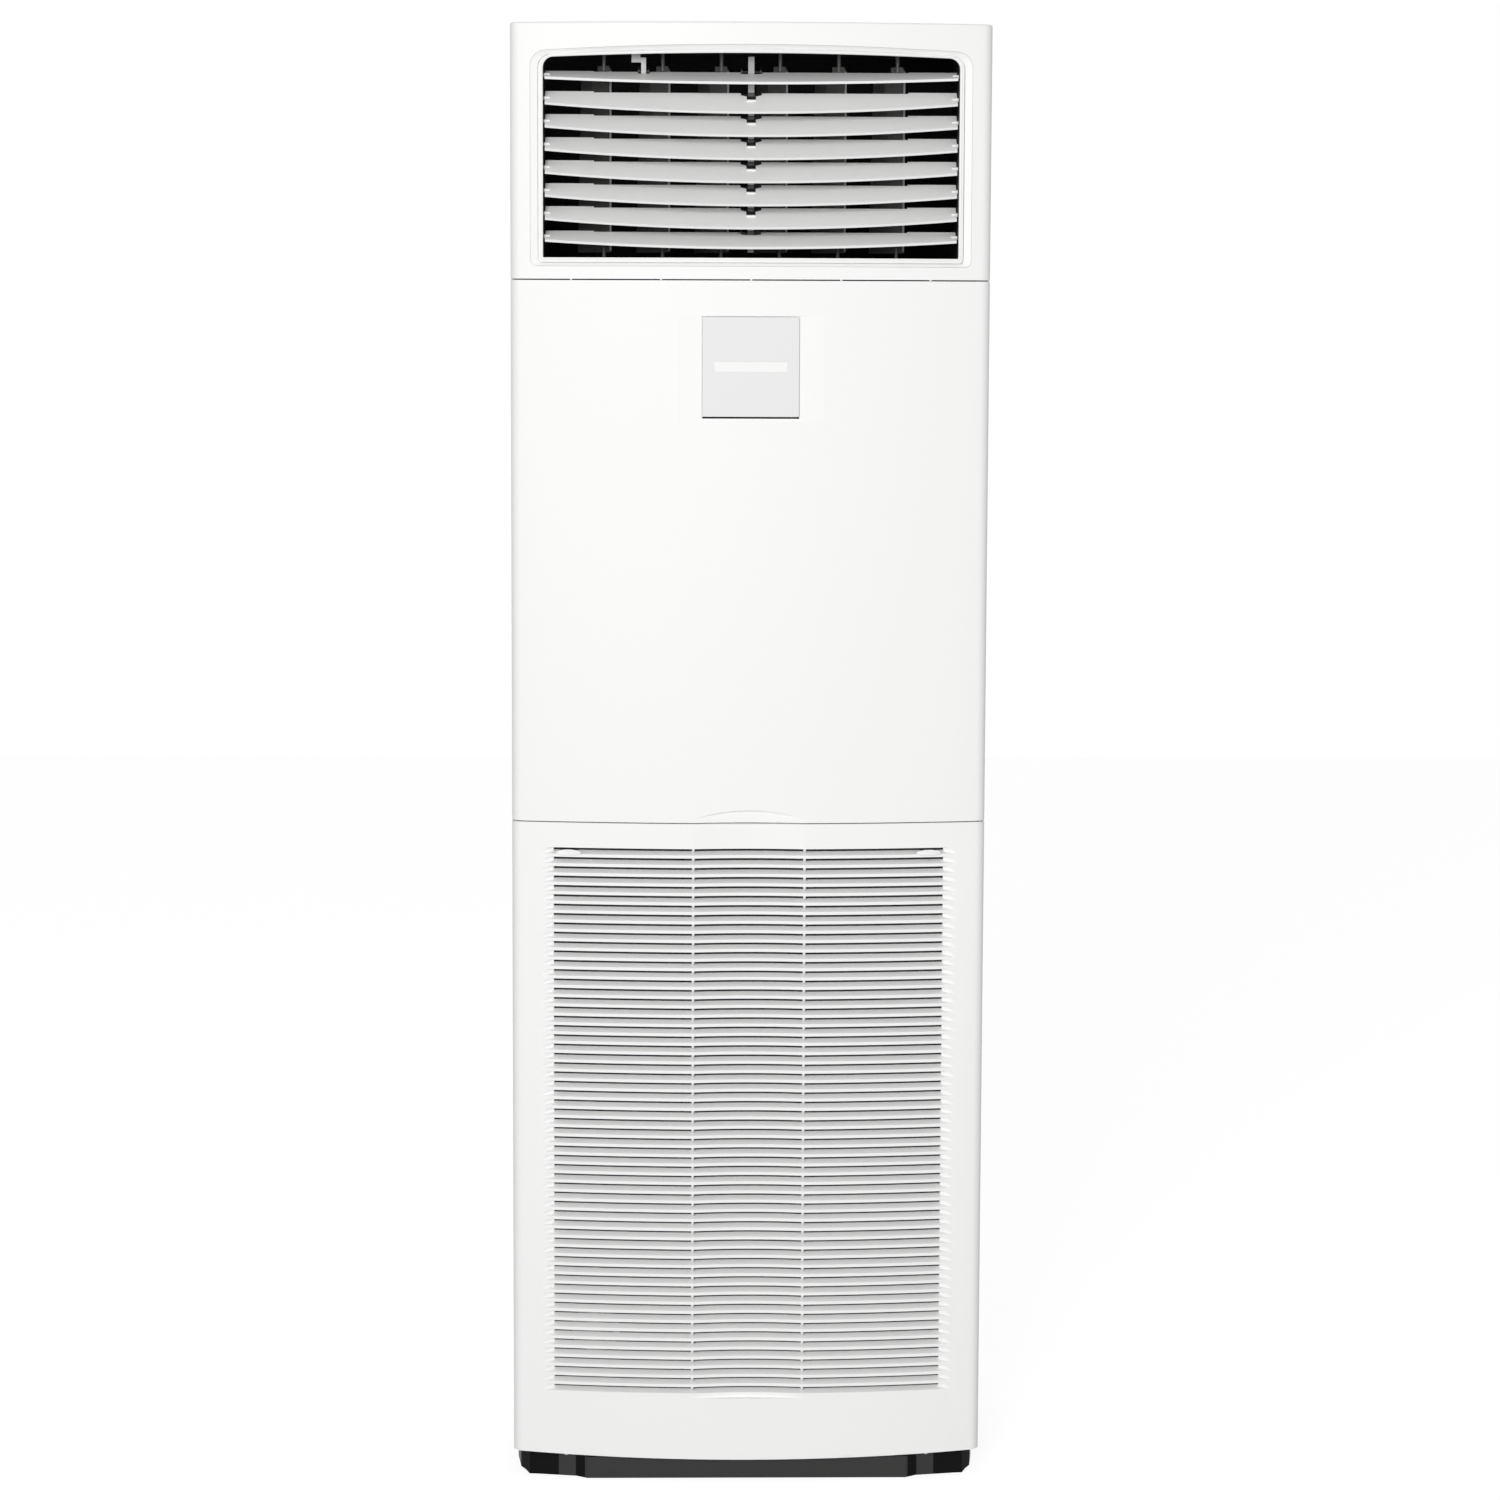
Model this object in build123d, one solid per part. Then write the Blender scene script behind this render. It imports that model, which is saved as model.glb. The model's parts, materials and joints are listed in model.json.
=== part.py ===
"""Floor standing air conditioner: a tall cabinet unit built from its separate pieces.

Millimetres. Origin at the middle of the footprint on the floor, +X to the right seen
from the front, -Y to the front, +Z up.
"""
from build123d import *
import os
from math import asin, atan2, cos, degrees, radians, sin, sqrt

# ---------------------------------------------------------------- overall sizes
WIDTH = 600.0
HEIGHT = 1850.0
DEPTH = 350.0
FRONT_BULGE = 28.0            # how far the middle of the front stands ahead of its corners
CORNER_RADIUS = 14.0          # upright corners between the front and the sides
TOP_EDGE_RADIUS = 3.0
INNER_CORNER_RADIUS = 1.0     # least corner radius of an inner face

# ---------------------------------------------------------------- clearances
RUNNING_GAP = 0.08            # radial, between a pin and its bore
SEAT_GAP = 0.3                # between a loose piece and what carries it
PANEL_GAP = 0.6               # between the front panels and the side panels
SEAM_GAP = 1.6                # open line between two front panels

# ---------------------------------------------------------------- walls
SHELL = 2.6                   # plastic front panels
SHEET = 1.2                   # steel sheet panels
PLINTH_WALL = 3.0
LINER_WALL = 10.0             # foam air channel
DUCT_WALL = 4.0

# ---------------------------------------------------------------- front panels
UPPER_SEAM_Z = HEIGHT - 316.4
LOWER_SEAM_Z = 852.7
PANEL_BACK_Y = -DEPTH / 2 + 55.0  # rear edge of the front panels' side walls
SEAM_TABS = 2                 # small distance tabs on each side of the middle one
SEAM_TAB_PITCH = (WIDTH / 2 - 76.0) / SEAM_TABS
SEAM_TAB_WIDTH = 2.4
SEAM_FLANGE = 12.0            # depth of the flanges along the seams
SKIRT_Z = 29.0                # lower edge of the front, in the middle
SKIRT_RISE = 5.5              # how much higher that edge is at the corners

# ---------------------------------------------------------------- outlet surround
BEVEL_HALF_WIDTH = WIDTH / 2 - 25.0
BEVEL_TOP_Z = HEIGHT - 27.5
BEVEL_TOP_DROP = 7.9
BEVEL_BOTTOM_Z = HEIGHT - 300.0
BEVEL_DEPTH = 3.0
BEVEL_CORNERS = (20.0, 8.0)   # radii at the head and at the foot
RIM_HALF_WIDTH = WIDTH / 2 - 35.0
RIM_TOP_Z = HEIGHT - 34.2
RIM_TOP_DROP = 6.6
RIM_BOTTOM_Z = HEIGHT - 295.5
RIM_DEPTH = 0.8
RIM_CORNERS = (16.0, 5.0)
OPENING_HALF_WIDTH = WIDTH / 2 - 41.0
OPENING_TOP_Z = HEIGHT - 38.0
OPENING_TOP_DROP = 5.0
OPENING_BOTTOM_Z = HEIGHT - 289.3
OPENING_CORNERS = (13.5, 1.0)
SURROUND_THICKNESS = 6.0
SURROUND_MARGIN = 4.0
SURROUND_CORNERS = (22.0, 10.0)

# ---------------------------------------------------------------- louvres
LOUVRE_COUNT = 8
LOUVRE_PITCH = 28.4
LOUVRE_TOP_Z = HEIGHT - 64.4  # pivot line of the uppermost louvre
LOUVRE_PIVOT_Y = -DEPTH / 2 + 34.0
LOUVRE_TILT = 32.0            # set angle, front edge down
LOUVRE_TILT_TOP = 18.0
LOUVRE_TILT_BOTTOM = 24.0
LOUVRE_HALF_LENGTH = WIDTH / 2 - 43.5
LOUVRE_FRONT_CHORD = 34.0     # pivot to front edge, in the middle
LOUVRE_FRONT_SAG = 21.0       # how much shorter that is at the ends
LOUVRE_REAR_CHORD = 13.0      # pivot to rear edge
LOUVRE_END_STEP_X = WIDTH / 2 - 104.0  # beyond this the rear edge stands further back
LOUVRE_END_STEP = 3.0
LOUVRE_THICKNESS = 2.0
LOUVRE_BEAD = 3.2             # thicker front edge
LOUVRE_PIN_RADIUS = 2.5
CRANK_LENGTH = 10.0           # louvre pivot to link pin
LINK_PIN_RADIUS = 1.2
NOTCH_HALF_WIDTH = 11.0
NOTCH_DEPTH = 4.0
INNER_NOTCH_HALF_WIDTH = 5.75
INNER_NOTCH_DEPTH = 8.5
LINK_BAR_WIDTH = 7.6
LINK_BAR_THICKNESS = 4.4
LINK_BAR_TOP_Z = HEIGHT - 40.5
LINK_BAR_BOTTOM_Z = HEIGHT - 282.0
DRIVE_X = -134.0              # where the drive arm holds the first louvre
DRIVE_ARM_WIDTH = 6.0
DRIVE_ARM_UPPER_X = -143.5
DRIVE_ARM_UPPER_WIDTH = 11.0
DRIVE_ARM_JOG_Z = HEIGHT - 45.0
CRANK_AXIS_Z = HEIGHT - 19.0
CRANK_SHEET = 3.0
CRANK_HUB_RADIUS = 4.0
CRANK_END_RADIUS = 3.0
CRANK_WEB_HEIGHT = 5.0
MOTOR_FACE_GAP = 0.5          # between the crank and its motor
MOTOR_FOOT_WIDTH = 16.0
LOUVRE_MOTOR_RADIUS = 12.0
LOUVRE_MOTOR_LENGTH = 20.0
MOTOR_GRIP = 8.0              # how far a driven pin reaches into its small motor

# ---------------------------------------------------------------- upright vanes
VANE_COUNT = 6
VANE_PITCH = (WIDTH - 159.0) / VANE_COUNT
VANE_PIVOT_Y = -DEPTH / 2 + 68.0
VANE_SET_ANGLE = 48.0         # front edge turned to the right
VANE_FRONT_CHORD = 12.0
VANE_REAR_CHORD = 44.0
VANE_REAR_SLANT = 6.0         # how much longer the vane is at its foot
VANE_TIP_CUT = (4.0, 6.0)     # small slant at the front of the vane's head
VANE_THICKNESS = 2.0
VANE_BOTTOM_Z = HEIGHT - 282.0
VANE_TOP_Z = HEIGHT - 51.0
VANE_PIN_RADIUS = 2.5
VANE_CRANK = 20.0
VANE_LINK_WIDTH = 8.0
VANE_LINK_THICKNESS = 3.5
VANE_LINK_GAP = 1.5
VANE_NOTCH_DEPTH = 15.3       # the link rod runs in a notch behind the vane's head
VANE_NOTCH_CHORD = 10.0       # pivot to the front of that notch

# ---------------------------------------------------------------- outlet duct
DUCT_TOP_Z = HEIGHT - 35.0    # inside faces
DUCT_BOTTOM_Z = HEIGHT - 290.5
DUCT_HALF_WIDTH = WIDTH / 2 - 42.0
DUCT_BACK_Y = -DEPTH / 2 + 155.0
DUCT_FLANGE_MARGIN_TOP = 28.0
DUCT_FLANGE_THICKNESS = 3.0

# ---------------------------------------------------------------- display
FACET_HALF_WIDTH = 92.0
FACET_DEPTH = 2.2
PLATE_HALF_WIDTH = 60.5
PLATE_BOTTOM_Z = UPPER_SEAM_Z - 169.6
PLATE_TOP_Z = UPPER_SEAM_Z - 45.6
PLATE_THICKNESS = 2.0
PLATE_CORNER = 3.0
PLATE_CHAMFER = 0.6
PLATE_SLOT = 2.2              # open line under the plate
FACET_MARGIN_TOP = 0.8        # flat facet above the plate
FACET_MARGIN_BOTTOM = 4.5
STRIP_HALF_WIDTH = 45.5
STRIP_BOTTOM_Z = PLATE_BOTTOM_Z + 55.9
STRIP_HEIGHT = 12.3
STRIP_THICKNESS = 0.8
STRIP_PROUD = 0.2
STRIP_GAP = 0.05

# ---------------------------------------------------------------- middle channel and scoop
CHANNEL_HALF_WIDTH = 70.0
CHANNEL_DEPTH = 7.0
CHANNEL_FOOT_Z = 109.6
SCOOP_TOP_Z = LOWER_SEAM_Z + 16.9
SCOOP_SIDE_Z = LOWER_SEAM_Z + 5.3

# ---------------------------------------------------------------- intake grille
SLOT_COUNT = 59
SLOT_PITCH = 12.0
FIRST_SLOT_TOP_Z = LOWER_SEAM_Z - 32.6
NOSE_HEIGHT = 3.9             # upright front face of each blade
BLADE_RISE = 4.3              # how much the blade climbs towards its rear edge
BLADE_DEPTH = 9.0
BLADE_REAR_THICKNESS = 1.8
SLOT_HALF_WIDTH = WIDTH / 2 - 52.0
RIB_WIDTH = 2.6
RIB_X = 70.3
RIB_RECESS = 7.0              # how far behind the face the ribs between the fields stand
BAND_HALF_WIDTH = WIDTH / 2 - 44.0  # thicker field that carries the blades
BAND_THICKNESS = 9.0
GRILLE_HINGE_Y = -DEPTH / 2 + 10.5
GRILLE_HINGE_Z = 34.0
GRILLE_PIN_RADIUS = 2.2
HINGE_LUG_RADIUS = 4.0
HINGE_LUG_WIDTH = 6.0
HINGE_ARM_WIDTH = 18.0
HINGE_X = 86.0
SWING_RELIEF = 1.2

# ---------------------------------------------------------------- latch tabs
TAB_X = WIDTH / 2 - 72.0
TAB_WIDTH = 31.0
TAB_HEIGHT = 7.5
TAB_Z = FIRST_SLOT_TOP_Z - 6.1
TAB_THICKNESS = 1.6
TAB_PROUD = 0.4               # between the tab's rear face and the blade noses
TAB_TRAVEL = 2.5
STEM_WIDTH = 20.0
STEM_HEIGHT = 3.6
STEM_Z = FIRST_SLOT_TOP_Z - 4.9
LATCH_ARM_THICKNESS = 3.0

# ---------------------------------------------------------------- air filter
FILTER_HALF_WIDTH = WIDTH / 2 - 38.0
FILTER_BOTTOM_Z = 105.0
FILTER_TOP_Z = 828.0
FILTER_THICKNESS = 5.0
FILTER_FRONT_Y = -DEPTH / 2 + 34.0
FILTER_BORDER = 12.0
FILTER_BAR = 4.0
FILTER_COLUMNS = 3
FILTER_ROWS = 5
NET_THICKNESS = 0.6
NET_GAP = 0.1
RAIL_WALL = 2.0
RAIL_LIP = 6.0

# ---------------------------------------------------------------- base
PLINTH_HEIGHT = 60.0
PLINTH_FRONT_Y = -DEPTH / 2 + 17.5
PLINTH_STEPS = [(95, 0), (81, 10), (30, 20), (20, 21), (15, 38), (8, 54)]  # inward, back
PLINTH_SIDE_START = 103.0     # how far behind its front the plinth's straight sides start
PLINTH_SIDE_GAP = 1.5
PLINTH_SCREW_INSET = 68.0     # from the side of the cabinet
PLINTH_SCREW_Z = 31.0
PLINTH_FLANGE = 26.0
ANCHOR_PAD_WIDTH = 90.0
ANCHOR_PAD_DEPTH = 44.0
PLINTH_FLANGE_THICKNESS = 4.0
ANCHOR_RADIUS = 5.5
ANCHOR_SPACING_X = WIDTH - 100.0
ANCHOR_SPACING_Y = DEPTH - 110.0
ANCHOR_Y = 20.0
BASE_SHEET = 1.5
BASE_FLANGE = 14.0

# ---------------------------------------------------------------- rear and sides
SIDE_BOTTOM_Z = 34.0
SIDE_FLANGE = 14.0
TOP_COVER_HEIGHT = 25.0
TOP_COVER_WALL = 2.6
TOP_COVER_LIP = 8.0           # height of the lip along the front edge
SCREW_HEAD_HEIGHT = 1.5
REAR_FACE_Y = DEPTH / 2 - SCREW_HEAD_HEIGHT
SCREW_HEAD_RADIUS = 3.6
SCREW_SLOT_LENGTH = 4.8
SCREW_SLOT_WIDTH = 1.2
SCREW_SHANK_RADIUS = 1.9
SCREW_HOLE_RADIUS = 2.0
SCREW_LENGTH = 6.0
REAR_SCREW_ROWS = 5
REAR_SCREW_INSET = 8.0
PIPE_HOLE_RADIUS = 32.5
PIPE_HOLE_X = -WIDTH / 2 + 100.0
PIPE_HOLE_Z = 110.0
WALL_STRAP_HOLE_RADIUS = 3.0
WALL_STRAP_SPACING = WIDTH - 200.0
WALL_STRAP_Z = HEIGHT - 70.0

# ---------------------------------------------------------------- deck, pan, coil
DECK_Z = 868.0                # underside
DECK_SHEET = 2.0
BAFFLE_THICKNESS = 8.0
BAFFLE_FRONT_Y = -DEPTH / 2 + 57.0
COIL_HALF_WIDTH = WIDTH / 2 - 60.0
COIL_THICKNESS = 40.0
COIL_FOOT_Y = -DEPTH / 2 + 100.0
COIL_FOOT_Z = 905.0
COIL_LENGTH = DUCT_BOTTOM_Z - COIL_FOOT_Z - 94.5
COIL_HEAD_GAP = 44.06872       # from the middle of the coil's head to the liner, a lean of 20 degrees
FIN_PITCH = 6.0
FIN_THICKNESS = 2.2
FIN_BORDER = 8.0
TUBE_RADIUS = 3.5
TUBE_PITCH = 25.4
END_PLATE_SHEET = 1.2
END_PLATE_MARGIN = 3.0
END_STRAP_SHARE = 0.8         # how far up the coil its straps to the liner are
END_STRAP_HEIGHT = 30.0
END_FOOT_WIDTH = 30.0
PAN_WALL = 2.0
PAN_HEIGHT = 34.0
PAN_HALF_WIDTH = WIDTH / 2 - 24.0
PAN_FRONT_Y = -DEPTH / 2 + 68.0
PAN_BACK_Y = -DEPTH / 2 + 139.0
SPIGOT_RADIUS = 8.0
SPIGOT_BORE = 6.0
SPIGOT_X = -WIDTH / 2 + 32.0
SPIGOT_Y = -DEPTH / 2 + 115.0
SPIGOT_END_Z = DECK_Z - 23.0
HOSE_OUTER_RADIUS = 10.0
HOSE_TOP_Z = DECK_Z - 6.0
HOSE_END_Z = 40.0

# ---------------------------------------------------------------- refrigerant pipes
GAS_RADIUS = 7.94
LIQUID_RADIUS = 4.76
PIPE_Y = DEPTH / 2 - 33.0
GAS_X = -WIDTH / 2 + 32.0
LIQUID_X = -WIDTH / 2 + 64.0
LIQUID_SIDE_X = -WIDTH / 2 + 36.0
GAS_TUBE_ROW = 6              # which gap between return bends each pipe leaves by
LIQUID_TUBE_ROW = 1
TUBE_WALL = 1.0
PIPE_LOCAL_Y = 8.0
PIPE_END_Z = 170.0
GAS_BEND = 16.0
GAS_DROP = 46.0               # from the coil to the start of the straight run down
LIQUID_BEND = 10.0
LIQUID_DROP = 20.0
LIQUID_RUN = 90.0             # level stretch beside the coil
NUT_HEIGHT = 24.0
NUT_WALL = 4.5
NUT_GRIP = 10.0               # how far the nut covers the end of its pipe
NUT_FIT = 0.05
THREAD_STEP = 1.2             # core radius of the nut's thread beyond the pipe

# ---------------------------------------------------------------- fan
FAN_Z = 470.0
IMPELLER_RADIUS = 150.0
IMPELLER_EYE_RADIUS = 122.0
IMPELLER_FRONT_Y = DEPTH / 2 - 203.0
IMPELLER_BACK_Y = DEPTH / 2 - 75.0
IMPELLER_BLADES = 36
IMPELLER_BLADE_THICKNESS = 1.4
IMPELLER_BLADE_ANGLE = 25.0
IMPELLER_DISC = 2.5
IMPELLER_RING_WIDTH = 8.0
IMPELLER_RING_WALL = 3.0
HUB_RADIUS = 16.0
HUB_LENGTH = 30.0
SHAFT_RADIUS = 6.0
SCROLL_FRONT_Y = DEPTH / 2 - 218.5
SCROLL_BACK_Y = DEPTH / 2 - 65.0
SCROLL_SHEET = 1.5
SCROLL_START_RADIUS = 178.0
SCROLL_STEP = 27.0
TONGUE_RADIUS = 20.0
TONGUE_FLAT = 24.0
SCROLL_FLANGE = 10.0
INLET_RADIUS = 130.0
THROAT_RADIUS = 118.0
BELL_LENGTH = 11.0
BELL_WALL = 1.5
BACK_PLATE_HALF_WIDTH = WIDTH / 2 - 30.0
BACK_PLATE_BOTTOM_Z = 200.0
MOTOR_RADIUS = 55.0
MOTOR_FRONT_Y = DEPTH / 2 - 71.0
MOTOR_BACK_Y = DEPTH / 2 - 17.0
MOTOR_CHAMFER = 4.0
MOTOR_SHAFT_STOP = 10.0       # end of the shaft ahead of the motor's rear face
MOTOR_HOLE_RADIUS = 58.0
BRACKET_SHEET = 2.5
BRACKET_ARM_WIDTH = 20.0
BRACKET_REACH = 85.0
BRACKET_HUB_RADIUS = 47.0
BRACKET_FOOT = 14.0
BRACKET_LEGS = 4

# ---------------------------------------------------------------- control box
BOX_LEFT_X = -WIDTH / 2 + 35.0
BOX_RIGHT_X = -25.0
BOX_BOTTOM_Z = DECK_Z - 178.0
BOX_TOP_Z = DECK_Z - 18.0
BOX_FRONT_Y = DEPTH / 2 - 215.0
BOX_WALL = 2.0
BOX_FLANGE = 3.0
BOARD_THICKNESS = 1.6
BOARD_MARGIN = 14.0
BOARD_OFFSET = 30.0
TERMINAL_WIDTH = 70.0
TERMINAL_HEIGHT = 22.0
TERMINAL_DEPTH = 26.0
TERMINAL_WAYS = 5

# ---------------------------------------------------------------- derived places
FRONT_Y = -DEPTH / 2
HALF_WIDTH = WIDTH / 2
FRONT_RADIUS = (HALF_WIDTH ** 2 + FRONT_BULGE ** 2) / (2 * FRONT_BULGE)
FRONT_CENTRE_Y = FRONT_Y + FRONT_RADIUS
SIDE_INNER_X = HALF_WIDTH - SHEET
SIDE_FRONT_Y = PANEL_BACK_Y + PANEL_GAP
REAR_INNER_Y = REAR_FACE_Y - SHEET
SIDE_TOP_Z = HEIGHT - TOP_COVER_HEIGHT
DECK_TOP_Z = DECK_Z + DECK_SHEET
PLATE_FACE_Y = FRONT_Y + FACET_DEPTH - PLATE_THICKNESS
LINER_OUTER_X = HALF_WIDTH - TOP_COVER_WALL - SEAT_GAP
LINER_BACK_Y = REAR_FACE_Y - TOP_COVER_WALL - SEAT_GAP
LINER_INNER_X = LINER_OUTER_X - LINER_WALL
COIL_REACH = LINER_BACK_Y - LINER_WALL - COIL_HEAD_GAP - COIL_FOOT_Y
COIL_LEAN = degrees(asin(COIL_REACH / COIL_LENGTH))  # from upright, top to the rear
SHELF_Z = DUCT_BOTTOM_Z - DUCT_WALL
DUCT_OUTER_X = DUCT_HALF_WIDTH + DUCT_WALL
LOUVRE_TILTS = [LOUVRE_TILT_TOP] + [LOUVRE_TILT] * (LOUVRE_COUNT - 2) + [LOUVRE_TILT_BOTTOM]
CRANK_Y = CRANK_LENGTH * cos(radians(LOUVRE_TILT))
CRANK_Z = CRANK_LENGTH * sin(radians(LOUVRE_TILT))
LINK_PIN_Y = LOUVRE_PIVOT_Y + CRANK_Y
VANE_XS = [VANE_PITCH * (i - (VANE_COUNT - 1) / 2) for i in range(VANE_COUNT)]
VANE_CRANK_X = -VANE_CRANK * sin(radians(VANE_SET_ANGLE))
VANE_CRANK_Y = VANE_CRANK * cos(radians(VANE_SET_ANGLE))
VANE_NOTCH_Z = VANE_TOP_Z - VANE_NOTCH_DEPTH
VANE_LINK_Z = VANE_NOTCH_Z + VANE_LINK_GAP
SCROLL_OUTLET_RIGHT_X = SCROLL_STEP / 2 + SCROLL_START_RADIUS + 2 * SCROLL_STEP
SCROLL_OUTLET_LEFT_X = -SCROLL_STEP / 2 + TONGUE_FLAT + TONGUE_RADIUS
BAND_BACK_Y = FRONT_Y + FRONT_BULGE * (BAND_HALF_WIDTH / HALF_WIDTH) ** 2 + BAND_THICKNESS


# ---------------------------------------------------------------- small helpers
def block(x0, x1, y0, y1, z0, z1):
    """Box between two corners."""
    middle = Pos((x0 + x1) / 2, (y0 + y1) / 2, (z0 + z1) / 2)
    return middle * Box(x1 - x0, y1 - y0, z1 - z0)


def rod_x(x0, x1, y, z, radius):
    """Round bar along X."""
    return Pos((x0 + x1) / 2, y, z) * Rot(0, 90, 0) * Cylinder(radius, x1 - x0)


def rod_y(x, y0, y1, z, radius):
    """Round bar along Y."""
    return Pos(x, (y0 + y1) / 2, z) * Rot(90, 0, 0) * Cylinder(radius, y1 - y0)


def rod_z(x, y, z0, z1, radius):
    """Upright round bar."""
    return Pos(x, y, (z0 + z1) / 2) * Cylinder(radius, z1 - z0)


def front_y(x, inset=0.0):
    """Y of the bulged front face at x, or of a face that lies inset behind it."""
    radius = FRONT_RADIUS - inset
    return FRONT_CENTRE_Y - sqrt(radius ** 2 - x ** 2)


def plan_face(inset, back_y, half_width=HALF_WIDTH):
    """Plan of the cabinet front: bulged face, rounded corners, straight sides."""
    half = half_width - inset
    side_y = front_y(half, inset)
    arc = ThreePointArc((-half, side_y), (0, front_y(0, inset)), (half, side_y))
    sides = Polyline((half, side_y), (half, back_y), (-half, back_y), (-half, side_y))
    face = make_face([arc, sides])
    corners = [v for v in face.vertices() if v.Y < side_y + 0.01]
    return fillet(corners, max(CORNER_RADIUS - inset, INNER_CORNER_RADIUS))


def upright(face, z0, z1):
    """Prism of a plan face between two heights."""
    return extrude(Pos(0, 0, z0) * face, amount=z1 - z0, dir=(0, 0, 1))


def through(face, y0=FRONT_Y - 5, y1=PANEL_BACK_Y):
    """Prism along Y of a face drawn in X and Z."""
    return extrude(Pos(0, y0, 0) * (Plane.XZ * face), amount=y1 - y0, dir=(0, 1, 0))


def layer(outer, inner, z0, z1):
    """Skin of the bulged front between two insets."""
    return upright(plan_face(outer, PANEL_BACK_Y), z0, z1) \
        - upright(plan_face(inner, PANEL_BACK_Y + 1), z0, z1)


def arched_outline(half, top_z, top_drop, bottom_z, corners):
    """Outline of the outlet: straight foot, upright sides, arched top."""
    top_radius, bottom_radius = corners
    arc = ThreePointArc((-half, top_z - top_drop), (0, top_z), (half, top_z - top_drop))
    rest = Polyline((half, top_z - top_drop), (half, bottom_z), (-half, bottom_z),
                    (-half, top_z - top_drop))
    face = make_face([arc, rest])
    upper = [v for v in face.vertices() if v.Y > (top_z + bottom_z) / 2]
    face = fillet(upper, top_radius)
    lower = [v for v in face.vertices() if v.Y < bottom_z + 0.01]
    return fillet(lower, bottom_radius)


def shell_panel(z0, z1):
    """Front panel with its side walls, open at the back, with a flange at each seam."""
    body = upright(plan_face(0, PANEL_BACK_Y), z0, z1)
    hollow = upright(plan_face(SHELL, PANEL_BACK_Y + 1), z0, z1)
    flange = upright(plan_face(0, PANEL_BACK_Y), z0, z0 + SHELL) \
        + upright(plan_face(0, PANEL_BACK_Y), z1 - SHELL, z1)
    flange -= upright(plan_face(SEAM_FLANGE, PANEL_BACK_Y + 1), z0, z1)
    return (body - hollow) + flange


def channel_circle():
    """Radius and centre Y of the round hollow down the middle of the front."""
    sag = (FRONT_Y + CHANNEL_DEPTH) - front_y(CHANNEL_HALF_WIDTH)
    radius = (CHANNEL_HALF_WIDTH ** 2 + sag ** 2) / (2 * sag)
    return radius, FRONT_Y + CHANNEL_DEPTH - radius


def channel_cutter(z0, z1, inset=0.0):
    """Round hollow down the middle of the front, or a face inset behind it."""
    radius, centre_y = channel_circle()
    return rod_z(0, centre_y, z0, z1, radius + inset)


# ---------------------------------------------------------------- outlet panel
def outlet_panel():
    z0 = UPPER_SEAM_Z + SEAM_GAP / 2
    body = upright(plan_face(0, PANEL_BACK_Y), z0, HEIGHT)
    rounded = [e for e in body.edges().group_by(Axis.Z)[-1] if e.center().Y < PANEL_BACK_Y - 1]
    body = fillet(rounded, TOP_EDGE_RADIUS)
    body -= upright(plan_face(SHELL, PANEL_BACK_Y + 1), z0 - 1, HEIGHT - SHELL)
    seam_flange = upright(plan_face(0, PANEL_BACK_Y), z0, z0 + SHELL)
    body += seam_flange - upright(plan_face(SEAM_FLANGE, PANEL_BACK_Y + 1), z0, z0 + SHELL)
    margin = arched_outline(BEVEL_HALF_WIDTH + SURROUND_MARGIN, BEVEL_TOP_Z + SURROUND_MARGIN,
                            BEVEL_TOP_DROP, BEVEL_BOTTOM_Z - SURROUND_MARGIN, SURROUND_CORNERS)
    body += layer(SHELL / 2, SURROUND_THICKNESS, z0, HEIGHT - SHELL / 2) & through(margin)
    bevel = arched_outline(BEVEL_HALF_WIDTH, BEVEL_TOP_Z, BEVEL_TOP_DROP, BEVEL_BOTTOM_Z,
                           BEVEL_CORNERS)
    rim = arched_outline(RIM_HALF_WIDTH, RIM_TOP_Z, RIM_TOP_DROP, RIM_BOTTOM_Z, RIM_CORNERS)
    opening = arched_outline(OPENING_HALF_WIDTH, OPENING_TOP_Z, OPENING_TOP_DROP,
                             OPENING_BOTTOM_Z, OPENING_CORNERS)
    for i in range(-SEAM_TABS, SEAM_TABS + 1):
        x = i * SEAM_TAB_PITCH
        half = SEAM_TAB_WIDTH / 2
        body += block(x - half, x + half, front_y(x + half) + SEAT_GAP, front_y(x) + SHELL,
                      z0 - SEAM_GAP + SEAT_GAP, z0 + SHELL)
    body -= layer(-1, BEVEL_DEPTH, z0, HEIGHT) & through(bevel - rim)
    body -= layer(-1, RIM_DEPTH, z0, HEIGHT) & through(rim)
    return body - through(opening)


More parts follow.
